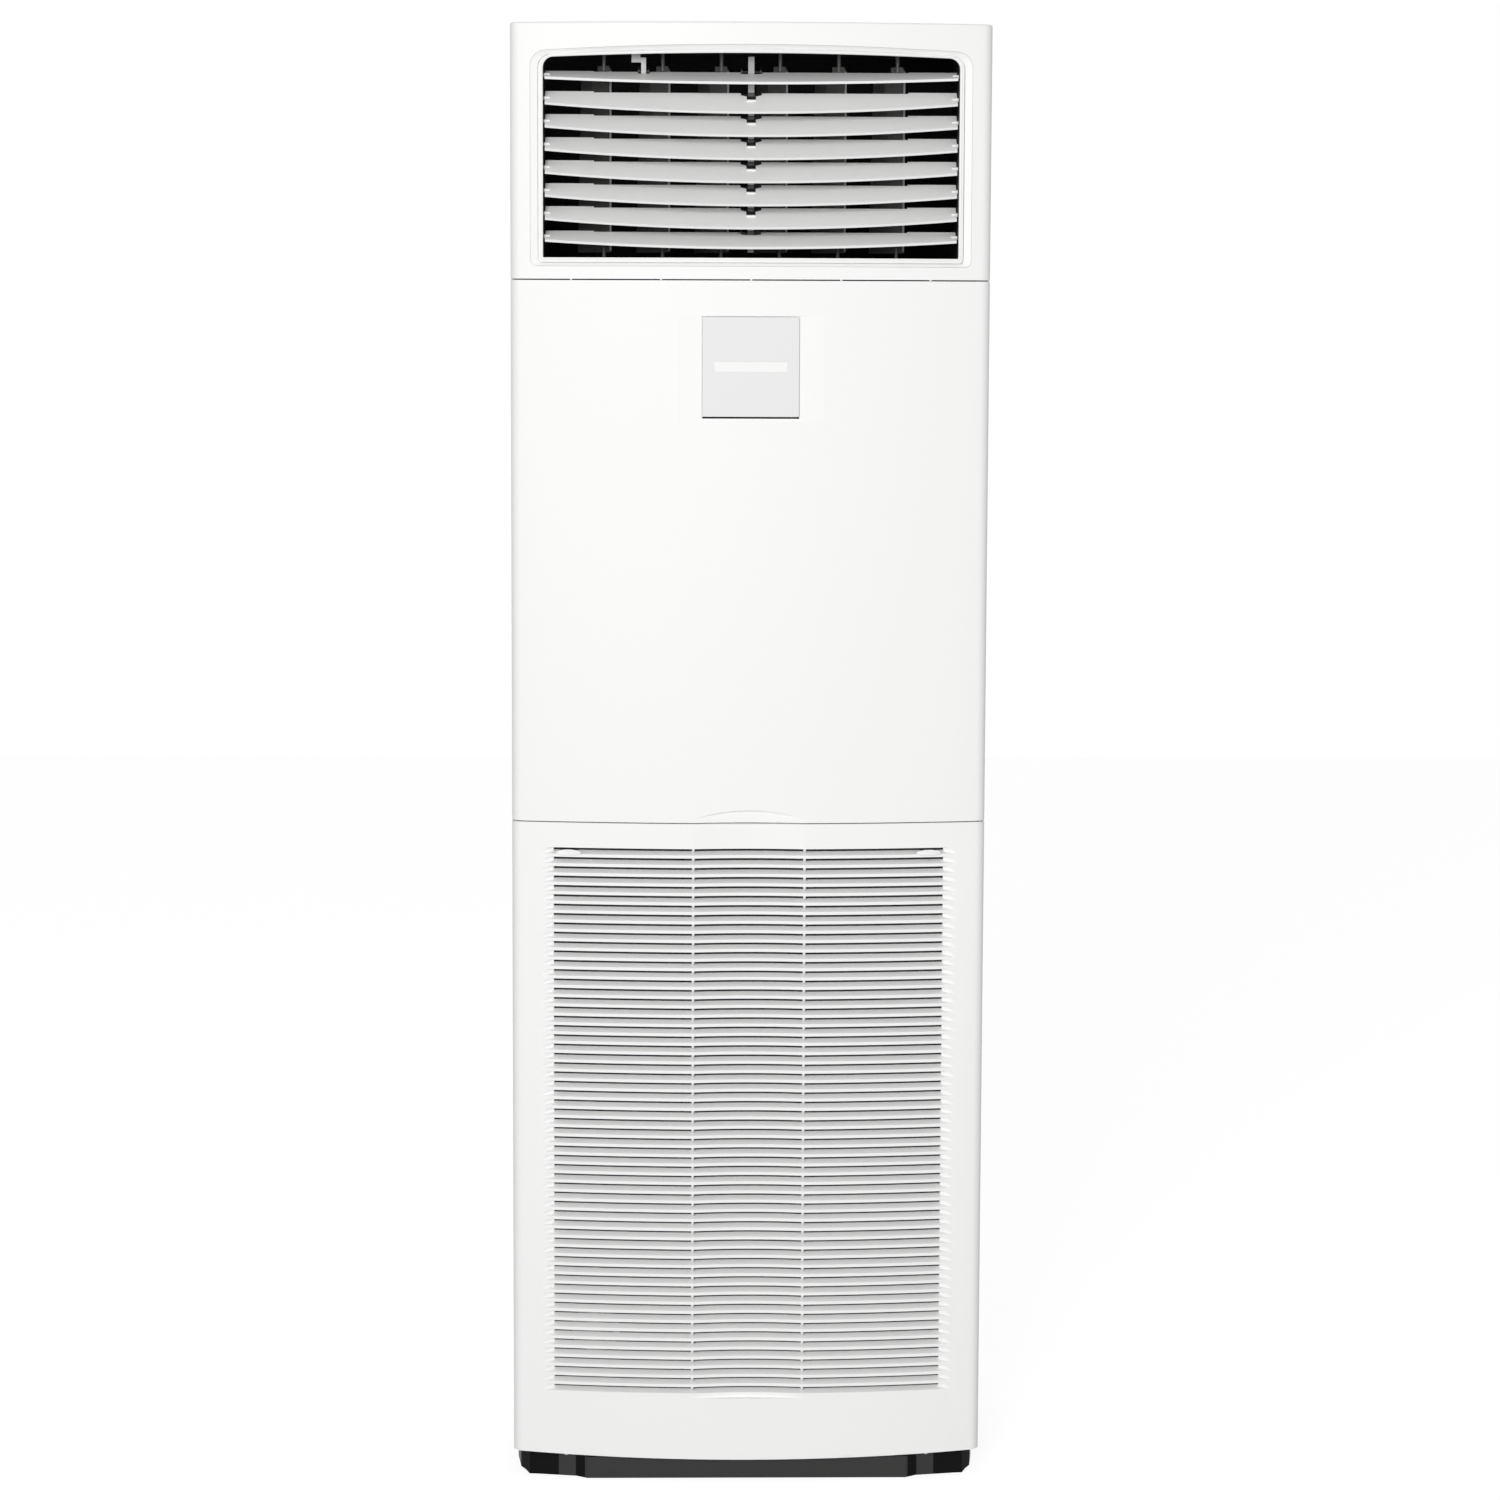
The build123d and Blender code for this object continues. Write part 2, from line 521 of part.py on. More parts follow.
def middle_panel():
    z0 = LOWER_SEAM_Z + SEAM_GAP / 2
    z1 = UPPER_SEAM_Z - SEAM_GAP / 2
    body = shell_panel(z0, z1)
    facet_y = FRONT_Y + FACET_DEPTH
    facet_z0 = PLATE_BOTTOM_Z - FACET_MARGIN_BOTTOM
    facet_z1 = PLATE_TOP_Z + FACET_MARGIN_TOP
    body += block(-FACET_HALF_WIDTH, FACET_HALF_WIDTH, facet_y, facet_y + SHELL, facet_z0, facet_z1)
    body -= block(-FACET_HALF_WIDTH, FACET_HALF_WIDTH, FRONT_Y - 1, facet_y, facet_z0, facet_z1)
    body -= block(-PLATE_HALF_WIDTH, PLATE_HALF_WIDTH, facet_y - 1, facet_y + SHELL + 1,
                  PLATE_BOTTOM_Z - PLATE_SLOT, PLATE_BOTTOM_Z)
    backing = channel_cutter(z0, SCOOP_TOP_Z + SHELL, SHELL)
    backing &= block(-CHANNEL_HALF_WIDTH - 4, CHANNEL_HALF_WIDTH + 4, front_y(CHANNEL_HALF_WIDTH),
                     FRONT_Y + CHANNEL_DEPTH + SHELL + 1, z0, SCOOP_TOP_Z + SHELL)
    body += backing
    arch = ThreePointArc((-CHANNEL_HALF_WIDTH, SCOOP_SIDE_Z), (0, SCOOP_TOP_Z),
                         (CHANNEL_HALF_WIDTH, SCOOP_SIDE_Z))
    foot = Polyline((CHANNEL_HALF_WIDTH, SCOOP_SIDE_Z), (CHANNEL_HALF_WIDTH, z0 - 1),
                    (-CHANNEL_HALF_WIDTH, z0 - 1), (-CHANNEL_HALF_WIDTH, SCOOP_SIDE_Z))
    return body - (channel_cutter(z0 - 1, SCOOP_TOP_Z + SHELL) & through(make_face([arch, foot])))


def display_plate():
    plate = block(-PLATE_HALF_WIDTH, PLATE_HALF_WIDTH, PLATE_FACE_Y, FRONT_Y + FACET_DEPTH,
                  PLATE_BOTTOM_Z, PLATE_TOP_Z)
    plate = fillet(plate.edges().filter_by(Axis.Y), PLATE_CORNER)
    plate = chamfer(plate.faces().sort_by(Axis.Y)[0].edges(), PLATE_CHAMFER)
    return plate - strip_space(0)


def strip_space(clearance):
    """Space of the bare strip on the display plate."""
    half = STRIP_HALF_WIDTH - clearance
    return block(-half, half, PLATE_FACE_Y - 1, PLATE_FACE_Y + STRIP_THICKNESS,
                 STRIP_BOTTOM_Z + clearance, STRIP_BOTTOM_Z + STRIP_HEIGHT - clearance)


def name_strip():
    """Bare strip let into the plate, standing a little proud of it."""
    strip = strip_space(STRIP_GAP)
    return strip - block(-WIDTH, WIDTH, PLATE_FACE_Y - 2, PLATE_FACE_Y - STRIP_PROUD, 0, HEIGHT)


# ---------------------------------------------------------------- intake grille
def ring_sector(profile, centre_y, radius_sign, x0, x1, radius):
    """Turn a slot profile, drawn as (depth, z) points, round an upright axis from x0 to x1."""
    points = [(radius - radius_sign * depth, z) for depth, z in profile]
    face = Plane.XZ * make_face(Polyline(*points, close=True))
    start = degrees(asin(x0 / radius))
    sweep_angle = degrees(asin(x1 / radius)) - start
    if radius_sign > 0:
        turned = Rot(0, 0, -90 + start) * face
    else:
        turned = Rot(0, 0, 90 - start - sweep_angle) * face
    solid = revolve(turned, axis=Axis.Z, revolution_arc=sweep_angle)
    return Pos(0, centre_y, 0) * solid


def slot_profile(behind=BAND_THICKNESS + 3.0):
    """Section of one slot, as depth behind the face and height above the blade below."""
    gap = SLOT_PITCH - NOSE_HEIGHT
    ahead = 2.0
    slope = BLADE_RISE / BLADE_DEPTH
    upper_slope = (SLOT_PITCH + BLADE_RISE - BLADE_REAR_THICKNESS - gap) / BLADE_DEPTH
    return [(-ahead, 0), (0, 0), (behind, behind * slope),
            (behind, gap + behind * upper_slope), (0, gap), (-ahead, gap)]


def slot_cutters():
    """Every slot of the three fields."""
    lowest = FIRST_SLOT_TOP_Z - (SLOT_PITCH - NOSE_HEIGHT)
    radius, centre_y = channel_circle()
    outer = ring_sector(slot_profile(), FRONT_CENTRE_Y, 1, RIB_X + RIB_WIDTH / 2,
                        SLOT_HALF_WIDTH, FRONT_RADIUS)
    mirrored = mirror(outer, about=Plane.YZ)
    half = RIB_X - RIB_WIDTH / 2
    middle = ring_sector(slot_profile(), centre_y, -1, -half, half, radius)
    over_rib = [(front_y(RIB_X) + depth, z) for depth, z in slot_profile(RIB_RECESS)]
    wide = RIB_WIDTH + 2 * SEAT_GAP
    bridge = extrude(Plane.YZ * make_face(Polyline(*over_rib, close=True)), amount=wide, dir=(1, 0, 0))
    bridges = [Pos(side * RIB_X - wide / 2, 0, 0) * bridge for side in (-1, 1)]
    cutters = []
    for i in range(SLOT_COUNT):
        lift = Pos(0, 0, lowest - i * SLOT_PITCH)
        cutters += [lift * cutter for cutter in (outer, mirrored, middle, *bridges)]
    return cutters


def grille_plan_band():
    """Thicker field of the grille in plan, with the round hollow down its middle."""
    outer = plan_face(0, PANEL_BACK_Y) & Rectangle(2 * BAND_HALF_WIDTH, 2 * DEPTH)
    inner = plan_face(BAND_THICKNESS, PANEL_BACK_Y)
    radius, centre_y = channel_circle()
    backing = Pos(0, centre_y, 0) * Circle(radius + BAND_THICKNESS)
    backing &= Pos(0, front_y(0) + DEPTH / 2, 0) * Rectangle(2 * CHANNEL_HALF_WIDTH, DEPTH)
    return (outer - inner) + backing - Pos(0, centre_y, 0) * Circle(radius)


def skirt_cutter():
    """Everything below the arched lower edge of the front."""
    side_z = SKIRT_Z + SKIRT_RISE
    far = HALF_WIDTH + 1
    arc = ThreePointArc((-far, side_z), (0, SKIRT_Z), (far, side_z))
    rest = Polyline((far, side_z), (far, -1), (-far, -1), (-far, side_z))
    return through(make_face([arc, rest]), y1=PANEL_BACK_Y + 1)


def tab_slot(x):
    """Opening behind a latch tab, with room for its travel."""
    y0 = FRONT_Y - 1
    low = STEM_Z - STEM_HEIGHT / 2 - TAB_TRAVEL - SEAT_GAP
    high = STEM_Z + STEM_HEIGHT / 2 + SEAT_GAP
    half = STEM_WIDTH / 2 + SEAT_GAP
    return block(x - half, x + half, y0, BAND_BACK_Y + 4, low, high)


def intake_grille():
    top = LOWER_SEAM_Z - SEAM_GAP / 2
    body = shell_panel(SKIRT_Z - SHELL, top)
    channel = channel_cutter(CHANNEL_FOOT_Z, top + 1)
    body -= channel & block(-HALF_WIDTH, HALF_WIDTH, FRONT_Y - 1, 0, 0, HEIGHT)
    body += upright(grille_plan_band(), CHANNEL_FOOT_Z, top)
    ledge = block(-CHANNEL_HALF_WIDTH, CHANNEL_HALF_WIDTH, FRONT_Y,
                  FRONT_Y + CHANNEL_DEPTH + BAND_THICKNESS, CHANNEL_FOOT_Z - SHELL, CHANNEL_FOOT_Z)
    body += ledge & upright(plan_face(0, PANEL_BACK_Y), 0, HEIGHT)
    body -= skirt_cutter()
    body -= slot_cutters()
    rear_x = HALF_WIDTH + 1
    body -= block(-rear_x, rear_x, FRONT_Y + 38, PANEL_BACK_Y + 1, top - SWING_RELIEF, top + 1)
    for side in (-1, 1):
        body -= tab_slot(side * TAB_X)
        body -= latch_arm_slot(side * TAB_X)
        body += filter_rail(side)
        body += hinge_arm(side)
    return body


def filter_rail(side):
    """Channel on the back of the grille that holds one side of the filter, with a foot."""
    face_y = FILTER_FRONT_Y - SEAT_GAP
    back_y = FILTER_FRONT_Y + FILTER_THICKNESS + SEAT_GAP
    outer_x = FILTER_HALF_WIDTH + SEAT_GAP + RAIL_WALL
    wall_x = FILTER_HALF_WIDTH + SEAT_GAP
    z0 = FILTER_BOTTOM_Z - SEAT_GAP - RAIL_WALL
    wall = block(wall_x, outer_x, front_y(outer_x) + SHELL / 2, back_y + RAIL_WALL, z0, FILTER_TOP_Z)
    lip = block(wall_x - RAIL_LIP, outer_x, back_y, back_y + RAIL_WALL, z0, FILTER_TOP_Z)
    foot = block(wall_x - RAIL_LIP, outer_x, face_y, back_y + RAIL_WALL, z0, z0 + RAIL_WALL)
    rail = wall + lip + foot
    return rail if side > 0 else mirror(rail, about=Plane.YZ)


def hinge_arm(side):
    """Arm and pin at the foot of the grille."""
    x = side * HINGE_X
    half = HINGE_ARM_WIDTH / 2
    wall_y = front_y(HINGE_X + half) + SHELL / 2
    arm = block(x - half, x + half, wall_y, GRILLE_HINGE_Y, GRILLE_HINGE_Z - GRILLE_PIN_RADIUS,
                GRILLE_HINGE_Z + HINGE_LUG_RADIUS)
    knuckle = rod_x(x - half, x + half, GRILLE_HINGE_Y, GRILLE_HINGE_Z, HINGE_LUG_RADIUS - 1)
    reach = half + SEAT_GAP + HINGE_LUG_WIDTH
    pin = rod_x(x - reach, x + reach, GRILLE_HINGE_Y, GRILLE_HINGE_Z, GRILLE_PIN_RADIUS)
    return arm + knuckle + pin


def latch_arm_slot(x):
    """Hole through the grille's upper flange for the latch arm."""
    half = STEM_WIDTH / 2 + SEAT_GAP
    y0 = BAND_BACK_Y + 1 - SEAT_GAP
    top = LOWER_SEAM_Z
    return block(x - half, x + half, y0, y0 + LATCH_ARM_THICKNESS + 2 * SEAT_GAP,
                 top - SEAM_GAP / 2 - SHELL - 1, top)


def latch_tab(side):
    """Oval tab, its stem through the first slot and the arm up to the seam."""
    x = side * TAB_X
    oval = Pos(x, TAB_Z) * SlotOverall(TAB_WIDTH, TAB_HEIGHT)
    skin = layer(-TAB_PROUD - TAB_THICKNESS, -TAB_PROUD, TAB_Z - TAB_HEIGHT, TAB_Z + TAB_HEIGHT)
    tab = skin & through(oval)
    half = STEM_WIDTH / 2
    arm_y = BAND_BACK_Y + 1
    stem = block(x - half, x + half, FRONT_Y, arm_y + LATCH_ARM_THICKNESS,
                 STEM_Z - STEM_HEIGHT / 2, STEM_Z + STEM_HEIGHT / 2)
    stem &= upright(plan_face(-TAB_PROUD - TAB_THICKNESS / 2, 0), 0, HEIGHT)
    arm = block(x - half, x + half, arm_y, arm_y + LATCH_ARM_THICKNESS,
                STEM_Z - STEM_HEIGHT / 2, LOWER_SEAM_Z - SEAT_GAP)
    return tab + stem + arm


def filter_frame():
    x1 = FILTER_HALF_WIDTH
    y0, y1 = FILTER_FRONT_Y, FILTER_FRONT_Y + FILTER_THICKNESS
    frame = block(-x1, x1, y0, y1, FILTER_BOTTOM_Z, FILTER_TOP_Z)
    inner_w = 2 * (x1 - FILTER_BORDER)
    inner_h = FILTER_TOP_Z - FILTER_BOTTOM_Z - 2 * FILTER_BORDER
    cell_w = (inner_w - FILTER_BAR * (FILTER_COLUMNS - 1)) / FILTER_COLUMNS
    cell_h = (inner_h - FILTER_BAR * (FILTER_ROWS - 1)) / FILTER_ROWS
    windows = []
    for column in range(FILTER_COLUMNS):
        left = -inner_w / 2 + column * (cell_w + FILTER_BAR)
        for row in range(FILTER_ROWS):
            low = FILTER_BOTTOM_Z + FILTER_BORDER + row * (cell_h + FILTER_BAR)
            windows.append(block(left, left + cell_w, y0 - 1, y1 + 1, low, low + cell_h))
    return frame - windows - net_space(0)


def net_space(clearance):
    """Groove in the rear of the filter frame that holds the net."""
    edge = FILTER_BORDER / 2 + clearance
    y1 = FILTER_FRONT_Y + FILTER_THICKNESS
    return block(-FILTER_HALF_WIDTH + edge, FILTER_HALF_WIDTH - edge, y1 - NET_THICKNESS, y1,
                 FILTER_BOTTOM_Z + edge, FILTER_TOP_Z - edge)


def filter_net():
    return net_space(NET_GAP)


# ---------------------------------------------------------------- louvres
def louvre_plan(front, rear):
    """Blade outline with its pivot on the x axis and the front edge at negative y."""
    end = LOUVRE_HALF_LENGTH
    step_x = LOUVRE_END_STEP_X
    arc = ThreePointArc((-end, -front + LOUVRE_FRONT_SAG), (0, -front), (end, -front + LOUVRE_FRONT_SAG))
    far = rear + LOUVRE_END_STEP
    rest = Polyline((end, -front + LOUVRE_FRONT_SAG), (end, far), (step_x, far), (step_x, rear),
                    (-step_x, rear), (-step_x, far), (-end, far), (-end, -front + LOUVRE_FRONT_SAG))
    return make_face([arc, rest])


def louvre(index):
    tilt = LOUVRE_TILTS[index]
    plate = louvre_plan(LOUVRE_FRONT_CHORD, LOUVRE_REAR_CHORD)
    rear = LOUVRE_REAR_CHORD
    notch = Pos(0, rear - NOTCH_DEPTH / 2) * Rectangle(2 * NOTCH_HALF_WIDTH, NOTCH_DEPTH)
    inner = Pos(0, rear - INNER_NOTCH_DEPTH / 2) * Rectangle(2 * INNER_NOTCH_HALF_WIDTH,
                                                             INNER_NOTCH_DEPTH)
    plate = plate - notch - inner
    if index == 0:
        half = DRIVE_ARM_WIDTH / 2 + 2
        plate -= Pos(DRIVE_X, rear - INNER_NOTCH_DEPTH / 2) * Rectangle(2 * half, INNER_NOTCH_DEPTH)
    half_t = LOUVRE_THICKNESS / 2
    blade = extrude(Pos(0, 0, -half_t) * plate, amount=LOUVRE_THICKNESS, dir=(0, 0, 1))
    strip = louvre_plan(LOUVRE_FRONT_CHORD, LOUVRE_REAR_CHORD) \
        - louvre_plan(LOUVRE_FRONT_CHORD - LOUVRE_BEAD, LOUVRE_REAR_CHORD + 2)
    blade += extrude(Pos(0, 0, -LOUVRE_BEAD / 2) * strip, amount=LOUVRE_BEAD, dir=(0, 0, 1))
    reach = DUCT_OUTER_X - SEAT_GAP
    pivots = rod_x(LOUVRE_HALF_LENGTH - 6, reach, 0, 0, LOUVRE_PIN_RADIUS) \
        + rod_x(-reach, -LOUVRE_HALF_LENGTH + 6, 0, 0, LOUVRE_PIN_RADIUS)
    blade = Rot(tilt, 0, 0) * (blade + pivots)
    blade += crank_pin(tilt, 0, NOTCH_HALF_WIDTH)
    if index == 0:
        blade += crank_pin(tilt, DRIVE_X, DRIVE_ARM_WIDTH / 2 + 2)
    return Pos(0, LOUVRE_PIVOT_Y, LOUVRE_TOP_Z - index * LOUVRE_PITCH) * blade


def crank_pin(tilt, x, half_gap):
    """Link pin across a notch, with an ear at each end that joins it to the blade."""
    ear = 2.0
    offset = CRANK_LENGTH * sin(radians(abs(LOUVRE_TILT - tilt)))
    radius = LINK_PIN_RADIUS + 1.2 + offset
    pin = rod_x(x - half_gap - ear, x + half_gap + ear, CRANK_Y, CRANK_Z, LINK_PIN_RADIUS)
    left = rod_x(x - half_gap - ear, x - half_gap, CRANK_Y, CRANK_Z, radius)
    right = rod_x(x + half_gap, x + half_gap + ear, CRANK_Y, CRANK_Z, radius)
    return pin + left + right


def louvre_link_bar():
    half = LINK_BAR_WIDTH / 2
    bar = block(-half, half, LINK_PIN_Y - LINK_BAR_THICKNESS / 2, LINK_PIN_Y + LINK_BAR_THICKNESS / 2,
                LINK_BAR_BOTTOM_Z, LINK_BAR_TOP_Z)
    bores = []
    for index in range(LOUVRE_COUNT):
        z = LOUVRE_TOP_Z - index * LOUVRE_PITCH + CRANK_Z
        bores.append(rod_x(-half - 1, half + 1, LINK_PIN_Y, z, LINK_PIN_RADIUS + RUNNING_GAP))
    return bar - bores


def louvre_drive_arm():
    half_t = LINK_BAR_THICKNESS / 2
    y0, y1 = LINK_PIN_Y - half_t, LINK_PIN_Y + half_t
    low_z = LOUVRE_TOP_Z + CRANK_Z
    high_z = CRANK_AXIS_Z + CRANK_Z
    half = DRIVE_ARM_WIDTH / 2
    upper = DRIVE_ARM_UPPER_WIDTH / 2
    jog = DRIVE_ARM_JOG_Z
    arm = block(DRIVE_X - half, DRIVE_X + half, y0, y1, low_z - 3, jog + 3)
    arm += block(DRIVE_ARM_UPPER_X - upper, DRIVE_X + half, y0, y1, jog - 3, jog + 3)
    arm += block(DRIVE_ARM_UPPER_X - upper, DRIVE_ARM_UPPER_X + upper, y0, y1, jog, high_z + 3)
    bores = [rod_x(DRIVE_X - 10, DRIVE_X + 10, LINK_PIN_Y, low_z, LINK_PIN_RADIUS + RUNNING_GAP),
             rod_x(DRIVE_ARM_UPPER_X - 10, DRIVE_ARM_UPPER_X + 10, LINK_PIN_Y, high_z,
                   LINK_PIN_RADIUS + RUNNING_GAP)]
    return arm - bores


def louvre_crank():
    """Crank on the motor shaft: hub, web and the pin that holds the drive arm."""
    x1 = DRIVE_ARM_UPPER_X - DRIVE_ARM_UPPER_WIDTH / 2 - SEAT_GAP
    x0 = x1 - CRANK_SHEET
    half = CRANK_WEB_HEIGHT / 2
    hub = rod_x(x0, x1, LOUVRE_PIVOT_Y, CRANK_AXIS_Z, CRANK_HUB_RADIUS)
    end = rod_x(x0, x1, LINK_PIN_Y, CRANK_AXIS_Z + CRANK_Z, CRANK_END_RADIUS)
    web = Rot(LOUVRE_TILT, 0, 0) * block(x0, x1, 0, CRANK_LENGTH, -half, half)
    web = Pos(0, LOUVRE_PIVOT_Y, CRANK_AXIS_Z) * web
    pin = rod_x(x0, DRIVE_ARM_UPPER_X + DRIVE_ARM_UPPER_WIDTH / 2 + 1, LINK_PIN_Y,
                CRANK_AXIS_Z + CRANK_Z, LINK_PIN_RADIUS)
    shaft = rod_x(x0 - MOTOR_GRIP, x0, LOUVRE_PIVOT_Y, CRANK_AXIS_Z, LOUVRE_PIN_RADIUS)
    return hub + end + web + pin + shaft


def louvre_motor():
    """Small stepper motor above the duct, with the bore that takes the crank's shaft."""
    x1 = DRIVE_ARM_UPPER_X - DRIVE_ARM_UPPER_WIDTH / 2 - SEAT_GAP - CRANK_SHEET - MOTOR_FACE_GAP
    x0 = x1 - LOUVRE_MOTOR_LENGTH
    half = MOTOR_FOOT_WIDTH / 2
    body = rod_x(x0, x1, LOUVRE_PIVOT_Y, CRANK_AXIS_Z, LOUVRE_MOTOR_RADIUS)
    foot_top = CRANK_AXIS_Z - LOUVRE_MOTOR_RADIUS + 3
    body += block(x0, x1, LOUVRE_PIVOT_Y - half, LOUVRE_PIVOT_Y + half, DUCT_TOP_Z + DUCT_WALL,
                  foot_top)
    return body - rod_x(x1 - MOTOR_GRIP - SEAT_GAP, x1 + 1, LOUVRE_PIVOT_Y, CRANK_AXIS_Z,
                        LOUVRE_PIN_RADIUS + RUNNING_GAP)


# ---------------------------------------------------------------- upright vanes
def vane(index):
    front, rear = VANE_FRONT_CHORD, VANE_REAR_CHORD
    cut_back, cut_down = VANE_TIP_CUT
    outline = Polyline((-front, VANE_BOTTOM_Z), (rear, VANE_BOTTOM_Z),
                       (rear - VANE_REAR_SLANT, VANE_NOTCH_Z), (VANE_NOTCH_CHORD, VANE_NOTCH_Z),
                       (VANE_NOTCH_CHORD, VANE_TOP_Z), (-front + cut_back, VANE_TOP_Z),
                       (-front, VANE_TOP_Z - cut_down), close=True)
    half_t = VANE_THICKNESS / 2
    plate = extrude(Pos(-half_t, 0, 0) * (Plane.YZ * make_face(outline)),
                    amount=VANE_THICKNESS, dir=(1, 0, 0))
    lower = rod_z(0, 0, DUCT_BOTTOM_Z - DUCT_WALL + SEAT_GAP, VANE_BOTTOM_Z + 6, VANE_PIN_RADIUS)
    reach = DUCT_TOP_Z + DUCT_WALL + (MOTOR_GRIP if index == 0 else -SEAT_GAP)
    upper = rod_z(0, 0, VANE_TOP_Z - 6, reach, VANE_PIN_RADIUS)
    pin_top = VANE_LINK_Z + VANE_LINK_THICKNESS + 1.5
    pin = rod_z(0, VANE_CRANK, VANE_NOTCH_Z - 6, pin_top, LINK_PIN_RADIUS)
    place = Pos(VANE_XS[index], VANE_PIVOT_Y, 0) * Rot(0, 0, VANE_SET_ANGLE)
    return place * (plate + lower + upper + pin)


def vane_link_rod():
    half = VANE_LINK_WIDTH / 2
    y = VANE_PIVOT_Y + VANE_CRANK_Y
    x0 = VANE_XS[0] + VANE_CRANK_X
    x1 = VANE_XS[-1] + VANE_CRANK_X
    rod = block(x0 - half, x1 + half, y - half, y + half, VANE_LINK_Z, VANE_LINK_Z + VANE_LINK_THICKNESS)
    bores = [rod_z(x + VANE_CRANK_X, y, VANE_LINK_Z - 1, VANE_LINK_Z + VANE_LINK_THICKNESS + 1,
                   LINK_PIN_RADIUS + RUNNING_GAP) for x in VANE_XS]
    return rod - bores


def vane_motor():
    """Small stepper motor that stands on the duct over the first vane's pivot."""
    x = VANE_XS[0]
    z0 = DUCT_TOP_Z + DUCT_WALL
    body = rod_z(x, VANE_PIVOT_Y, z0, z0 + LOUVRE_MOTOR_LENGTH, LOUVRE_MOTOR_RADIUS)
    body += block(x - 18, x + 18, VANE_PIVOT_Y - 5, VANE_PIVOT_Y + 5, z0, z0 + 2)
    return body - rod_z(x, VANE_PIVOT_Y, z0 - 1, z0 + MOTOR_GRIP + SEAT_GAP,
                        VANE_PIN_RADIUS + RUNNING_GAP)


def outlet_duct():
    """Dark tunnel behind the louvres, with every pivot bore and a flange at its rear end."""
    outer_top = DUCT_TOP_Z + DUCT_WALL
    outer = block(-DUCT_OUTER_X, DUCT_OUTER_X, FRONT_Y, DUCT_BACK_Y, SHELF_Z, outer_top)
    outer &= upright(plan_face(SURROUND_THICKNESS + SEAT_GAP, 0), SHELF_Z - 1, outer_top + 1)
    flange_y = DUCT_BACK_Y - DUCT_FLANGE_THICKNESS
    outer += block(-LINER_INNER_X + SEAT_GAP, LINER_INNER_X - SEAT_GAP, flange_y, DUCT_BACK_Y,
                   SHELF_Z, outer_top + DUCT_FLANGE_MARGIN_TOP)
    duct = outer - block(-DUCT_HALF_WIDTH, DUCT_HALF_WIDTH, FRONT_Y - 1, DUCT_BACK_Y + 1,
                         DUCT_BOTTOM_Z, DUCT_TOP_Z)
    bores = []
    for index in range(LOUVRE_COUNT):
        z = LOUVRE_TOP_Z - index * LOUVRE_PITCH
        bores.append(rod_x(-DUCT_OUTER_X - 1, DUCT_OUTER_X + 1, LOUVRE_PIVOT_Y, z,
                           LOUVRE_PIN_RADIUS + RUNNING_GAP))
    for x in VANE_XS:
        bores.append(rod_z(x, VANE_PIVOT_Y, SHELF_Z - 1, outer_top + 1, VANE_PIN_RADIUS + RUNNING_GAP))
    arm_slot = block(DRIVE_ARM_UPPER_X - 9, DRIVE_X + 6, LINK_PIN_Y - 7, LINK_PIN_Y + 7,
                     DUCT_TOP_Z - 1, outer_top + 1)
    return duct - bores - arm_slot


# ---------------------------------------------------------------- base
def plinth_outline(inset):
    """Plan of the plinth: flat front, stepped corners, straight sides and back."""
    front = PLINTH_FRONT_Y
    side = SIDE_INNER_X - PLINTH_SIDE_GAP
    right = [(HALF_WIDTH - inward, front + back) for inward, back in PLINTH_STEPS]
    right += [(side, front + PLINTH_SIDE_START), (side, REAR_INNER_Y)]
    left = [(-x, y) for x, y in reversed(right)]
    face = make_face(Polyline(*(right + left), close=True))
    return offset(face, amount=-inset, kind=Kind.INTERSECTION) if inset else face


def base_plinth():
    body = upright(plinth_outline(0), 0, PLINTH_HEIGHT)
    body -= upright(plinth_outline(PLINTH_WALL), -1, PLINTH_HEIGHT + 1)
    foot = upright(plinth_outline(0), 0, PLINTH_FLANGE_THICKNESS)
    foot -= upright(plinth_outline(PLINTH_FLANGE), -1, PLINTH_FLANGE_THICKNESS + 1)
    body += foot
    for x in (-ANCHOR_SPACING_X / 2, ANCHOR_SPACING_X / 2):
        for y in (ANCHOR_Y - ANCHOR_SPACING_Y / 2, ANCHOR_Y + ANCHOR_SPACING_Y / 2):
            pad = Pos(x, y) * Rectangle(ANCHOR_PAD_WIDTH, ANCHOR_PAD_DEPTH)
            body += upright(pad & plinth_outline(0), 0, PLINTH_FLANGE_THICKNESS)
            body -= rod_z(x, y, -1, PLINTH_FLANGE_THICKNESS + 1, ANCHOR_RADIUS)
    for side in (-1, 1):
        body -= plinth_screw_place(side) * rod_y(0, -1, 2 * PLINTH_WALL, 0, SCREW_HOLE_RADIUS)
        for end in (-1, 1):
            centre = side * HINGE_X + end * (HINGE_ARM_WIDTH / 2 + SEAT_GAP + HINGE_LUG_WIDTH / 2)
            x0, x1 = centre - HINGE_LUG_WIDTH / 2, centre + HINGE_LUG_WIDTH / 2
            body += rod_x(x0, x1, GRILLE_HINGE_Y, GRILLE_HINGE_Z, HINGE_LUG_RADIUS)
            body += block(x0, x1, GRILLE_HINGE_Y, PLINTH_FRONT_Y + 1,
                          GRILLE_HINGE_Z - HINGE_LUG_RADIUS, GRILLE_HINGE_Z + HINGE_LUG_RADIUS)
            body -= rod_x(x0 - 1, x1 + 1, GRILLE_HINGE_Y, GRILLE_HINGE_Z,
                          GRILLE_PIN_RADIUS + RUNNING_GAP)
    return body


